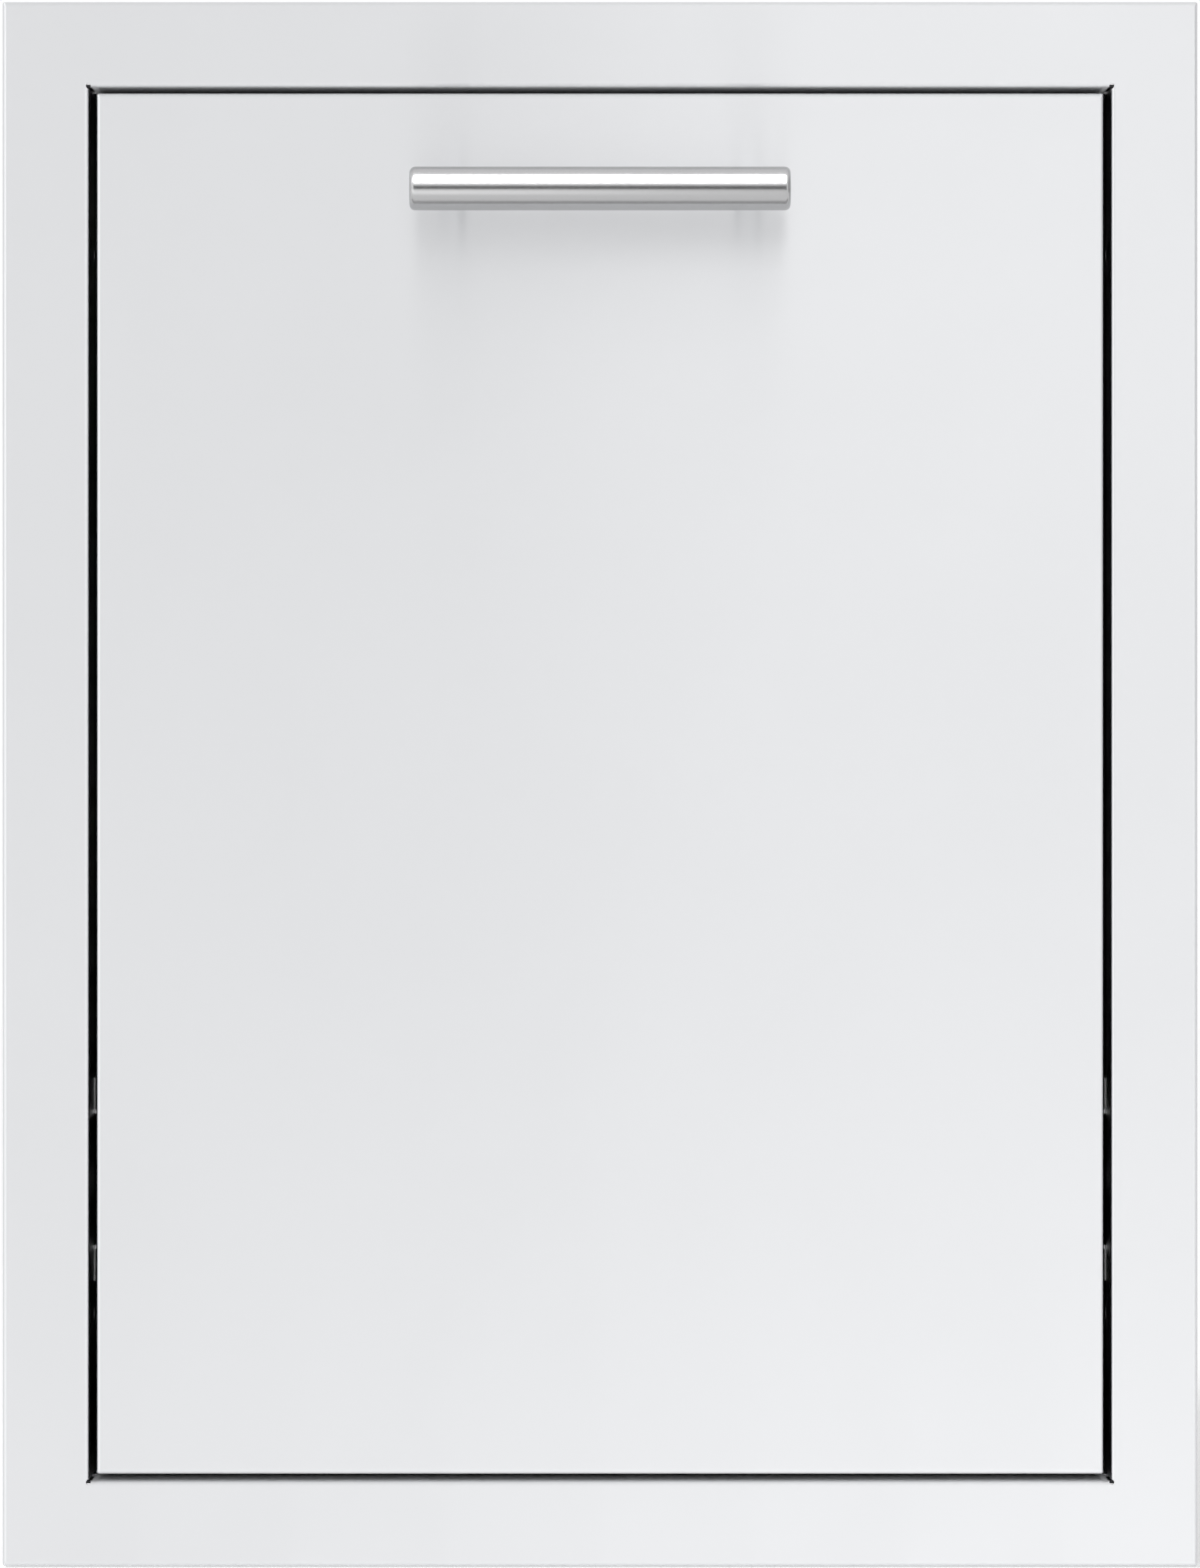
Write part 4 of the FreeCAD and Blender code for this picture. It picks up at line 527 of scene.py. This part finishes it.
def set_on_places(name, shape_mesh, places, body, finish, turn=0.0):
    """One piece made of a copy of the shape on each place, given as a point and a facing."""
    points = bpy.data.meshes.new(f"{name}_places")
    points.from_pydata([point for point, facing in places], [], [])
    facings = points.attributes.new("facing", "FLOAT_VECTOR", "POINT")
    facings.data.foreach_set("vector", [value for point, facing in places for value in facing])
    shape = bpy.data.objects.new(f"{name}_shape", shape_mesh)
    holder = bpy.data.objects.new(f"{name}_holder", points)
    bpy.context.scene.collection.objects.link(holder)
    rows = holder.modifiers.new("rows", "NODES")
    rows.node_group = SETTING_TREE
    values = {"Shape": shape, "Finish": finish, "Turn": turn, "Seed": SCREW_SEED}
    for socket in SETTING_TREE.interface.items_tree:
        if socket.name in values:
            rows[socket.identifier] = values[socket.name]
    mesh = settled(holder)
    bpy.data.objects.remove(holder)
    bpy.data.objects.remove(shape)
    mesh.attributes.remove(mesh.attributes["facing"])
    piece = bpy.data.objects.new(name, mesh)
    bpy.context.scene.collection.objects.link(piece)
    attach(piece, body)
    return piece


def refine_fasteners(node_name, body, slot, make_shape, turn=0.0):
    """Stand detailed fasteners in place of a node's plain ones, one shape for each length."""
    sizes = [measure(points) for points in islands(node_name)]
    lengths = sorted({round(size["end"], 5) for size in sizes})
    for number, length in enumerate(lengths, 1):
        alike = [size for size in sizes if round(size["end"], 5) == length]
        alike.sort(key=lambda size: tuple(round(value, 5) for value in size["seat"]))
        name = f"{node_name}_detail_{number}"
        places = [(size["seat"], size["facing"]) for size in alike]
        piece = set_on_places(name, make_shape(f"{name}_shape", alike[0]), places, body,
                              MATERIALS[slot], turn)
        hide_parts(node_name)


def weld_rows(start, end):
    """Evenly spaced weld places between two ends."""
    count = round((end - start) / WELD_PITCH)
    return [start + (end - start) * i / count for i in range(count + 1)]


def build_spot_welds():
    """Rows of weld marks where the cabinet's panels lap the frame's flange."""
    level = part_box("face_frame")[1][1] / 2
    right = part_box("right_side_panel")[1]
    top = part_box("top_panel")[1]
    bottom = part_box("bottom_panel")[0]
    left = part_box("left_side_panel")[0]
    places = []
    for x in weld_rows(left[0] + WELD_END, right[0] - WELD_END):
        places += [((x, level, top[2]), (0, 0, 1)), ((x, level, bottom[2]), (0, 0, -1))]
    for z in weld_rows(bottom[2] + WELD_END, top[2] - WELD_END):
        places += [((right[0], level, z), (1, 0, 0)), ((left[0], level, z), (-1, 0, 0))]
    set_on_places("spot_welds", weld_mesh("spot_weld_shape"), places, "cabinet",
                  weld_heat("weld_heat"))


def build_fasteners():
    half_turn = math.pi
    refine_fasteners("cabinet_rivets", "cabinet", "rivet_aluminium", rivet_mesh)
    refine_fasteners("drawer_rivets", "drawer", "rivet_aluminium", rivet_mesh)
    refine_fasteners("drawer_front_screws", "drawer", "screw_steel", pan_head_mesh, half_turn)
    build_spot_welds()


# Studio

def glow(name, radiance):
    """A card face of set brightness, where the white of the background is 1."""
    material, tree, shader = new_material(name)
    shader.inputs["Base Color"].default_value = (0, 0, 0, 1)
    shader.inputs["Specular IOR Level"].default_value = 0.0
    shader.inputs["Emission Color"].default_value = (1, 1, 1, 1)
    shader.inputs["Emission Strength"].default_value = radiance
    return material


def card(name, place, aim, width, height, radiance):
    """A flat studio card that faces the aim point and is seen only in reflections."""
    w, h = width / 2, height / 2
    mesh = bpy.data.meshes.new(name)
    turn = (Vector(aim) - Vector(place)).to_track_quat("Z", "Y")
    corners = [Vector(place) + turn @ Vector((x, y, 0)) for x, y in ((-w, -h), (w, -h), (w, h), (-w, h))]
    mesh.from_pydata(corners, [], [(0, 1, 2, 3)])
    mesh.materials.append(glow(name, radiance))
    piece = bpy.data.objects.new(name, mesh)
    bpy.context.scene.collection.objects.link(piece)
    piece.visible_camera = False
    piece.visible_shadow = False
    piece.visible_diffuse = False


def seen_or_mirrored(tree):
    """1 for rays that are seen, mirrored or looked through, 0 for light that only fills."""
    path = node(tree, "ShaderNodeLightPath")
    seen = maths(tree, "MAXIMUM", path.outputs["Is Camera Ray"], path.outputs["Is Glossy Ray"])
    return maths(tree, "MAXIMUM", seen, path.outputs["Is Transmission Ray"])


def build_pale_floor():
    """Matt pale floor, near white where it is seen or mirrored, with the object's shadow on it."""
    material, tree, shader = new_material("pale_floor")
    shader.inputs["Base Color"].default_value = (0.82, 0.82, 0.82, 1.0)
    shader.inputs["Roughness"].default_value = 0.9
    shader.inputs["Specular IOR Level"].default_value = 0.0
    shader.inputs["Emission Color"].default_value = (1.0, 1.0, 1.0, 1.0)
    tree.links.new(spread_value(tree, seen_or_mirrored(tree), 0.0, 0.36), shader.inputs["Emission Strength"])
    return material


def build_floor():
    half = FLOOR_SIZE / 2
    level = cad_box[0][2] - FLOOR_DROP
    mesh = bpy.data.meshes.new("floor")
    mesh.from_pydata([(-half, -half, level), (half, -half, level), (half, half, level), (-half, half, level)],
                     [], [(0, 1, 2, 3)])
    mesh.materials.append(build_pale_floor())
    floor = bpy.data.objects.new("floor", mesh)
    bpy.context.scene.collection.objects.link(floor)
    return floor


def place_lamp(light, place, aim):
    lamp = bpy.data.objects.new(light.name, light)
    lamp.visible_camera = False
    lamp.location = place
    lamp.rotation_euler = (Vector(aim) - Vector(place)).to_track_quat("-Z", "Y").to_euler()
    bpy.context.scene.collection.objects.link(lamp)
    return lamp


def area_light(name, place, aim, width, height, radiance):
    """A soft box whose face adds this much brightness, where the white of the background is 1."""
    light = bpy.data.lights.new(name, "AREA")
    light.shape = "RECTANGLE"
    light.size = width
    light.size_y = height
    light.energy = radiance * math.pi * width * height
    return place_lamp(light, place, aim)


def sun_light(name, place, aim, strength, spread):
    """Even light from one side, its shadows softened over the spread angle."""
    light = bpy.data.lights.new(name, "SUN")
    light.energy = strength
    light.angle = spread
    return place_lamp(light, place, aim)


def link_lamp(lamp, pieces, state):
    """Light only these pieces (INCLUDE), or everything but them (EXCLUDE)."""
    receivers = bpy.data.collections.new(f"{lamp.name}_receivers")
    for piece in pieces:
        receivers.objects.link(piece)
    lamp.light_linking.receiver_collection = receivers
    for item in receivers.collection_objects:
        item.light_linking.link_state = state


def build_world():
    """White where it is seen or mirrored, softer where it only fills."""
    world = bpy.data.worlds.new("studio")
    world.use_nodes = True
    tree = world.node_tree
    tree.nodes.clear()
    strength = spread_value(tree, seen_or_mirrored(tree), 0.5, 1.0)
    background = node(tree, "ShaderNodeBackground", {"Color": (1, 1, 1, 1), "Strength": strength})
    node(tree, "ShaderNodeOutputWorld", {"Surface": background.outputs[0]})
    bpy.context.scene.world = world


def light_room(floor):
    """Soft light all round, a little stronger from the left, and a sun for the shadow on the floor."""
    area_light("key_light", place=(-2.6, -1.3, 2.2), aim=CENTRE, width=1.6, height=1.6, radiance=1.3)
    area_light("left_light", place=(-2.0, -1.5, 0.0), aim=CENTRE, width=2.2, height=2.4, radiance=0.22)
    card("right_card", place=(2.4, -0.4, 0.3), aim=(0, -0.4, 0.3), width=2.0, height=2.6, radiance=0.6)
    sun = sun_light("shadow_light", place=(-2.2, -1.6, 3.0), aim=CENTRE, strength=1.1,
                    spread=math.radians(22))
    link_lamp(sun, [floor], "INCLUDE")


def light_bar(bar):
    """The bright and the faint lamp that only the handle's bar mirrors."""
    overhead = area_light("overhead_light", place=(0.0, -1.91, 2.31), aim=CENTRE,
                          width=3.2, height=2.0, radiance=6.5)
    low_left = area_light("low_left_light", place=(-0.8, -0.9, -0.08), aim=(-0.8, 0, 0.2),
                          width=1.6, height=0.44, radiance=0.6)
    for lamp in (overhead, low_left):
        link_lamp(lamp, bar, "INCLUDE")


def light_front(bar, floor):
    """Lamps that brighten the front to its right; the bar mirrors the dark strips behind two of them."""
    ground = cad_box[0][2] - STRIP_DROP
    level, far, upper = 0.262, -1.0, 0.755
    near, foot = -0.13, -0.26
    ahead = {"aim": (0, 0, level), "width": 1.2, "height": 0.33}
    below = {"aim": (0, near, 1), "width": 1.6, "height": 0.22}
    card("front_strip", place=(0, far, level), radiance=0.02, **ahead)
    card("floor_strip", place=(0, near, ground), radiance=0.5, **below)
    lamps = [area_light("front_strip_light", place=(0, far + 1 * MM, level), radiance=1.0, **ahead),
             area_light("floor_strip_light", place=(0, near, ground + 0.1 * MM), radiance=0.45, **below)]
    for side, x, radiance in (("left", -FRONT_REACH / 2, 0.13), ("right", FRONT_REACH / 2, 0.75)):
        lamps.append(area_light(f"upper_{side}_light", place=(x, -1.3, upper), aim=(x, 0, upper),
                                width=FRONT_REACH, height=0.49, radiance=radiance))
    for lamp in lamps:
        link_lamp(lamp, bar + [floor], "EXCLUDE")

    fronts = [frame["nodes"][name] for name in ("face_frame", "drawer_front_pan")]
    steps = [FOOT_GRADE * (i / FOOT_STEPS - 0.5) for i in range(FOOT_STEPS + 1)]
    ends = [-FRONT_REACH] + steps + [FRONT_REACH]
    for number, (left, right) in enumerate(zip(ends, ends[1:])):
        x = (left + right) / 2
        radiance = FOOT_LEFT + (FOOT_RIGHT - FOOT_LEFT) * number / (FOOT_STEPS + 1)
        lamp = area_light(f"foot_light_{number + 1}", place=(x, foot, ground + 0.2 * MM), aim=(x, foot, 1),
                          width=right - left, height=0.48, radiance=radiance)
        link_lamp(lamp, fronts, "INCLUDE")


def build_studio():
    """The floor, the white surroundings and the lamps; none of these stands where the drawer opens."""
    floor = build_floor()
    build_world()
    bar = [frame["nodes"][name] for name in ("handle_bar", "handle_left_cap", "handle_right_cap")]
    light_room(floor)
    light_bar(bar)
    light_front(bar, floor)


def build_camera():
    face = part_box("face_frame")[0][1]
    tall = cad_box[1][2] - cad_box[0][2]
    half_view = tall / 2 * IMAGE_HEIGHT / FRAME_HEIGHT_PX
    camera = bpy.data.cameras.new("camera")
    camera.sensor_fit = "VERTICAL"
    camera.sensor_height = SENSOR / MM
    camera.sensor_width = SENSOR / MM
    camera.lens = SENSOR / MM / 2 * CAMERA_DISTANCE / half_view
    camera.clip_end = 50
    eye = bpy.data.objects.new("camera", camera)
    eye.location = (0, face - CAMERA_DISTANCE, 0)
    eye.rotation_euler = (math.pi / 2, 0, 0)
    bpy.context.scene.collection.objects.link(eye)
    bpy.context.scene.camera = eye


dress_solids()
build_fasteners()
build_studio()
build_camera()
bpy.context.scene.view_settings.view_transform = "Standard"
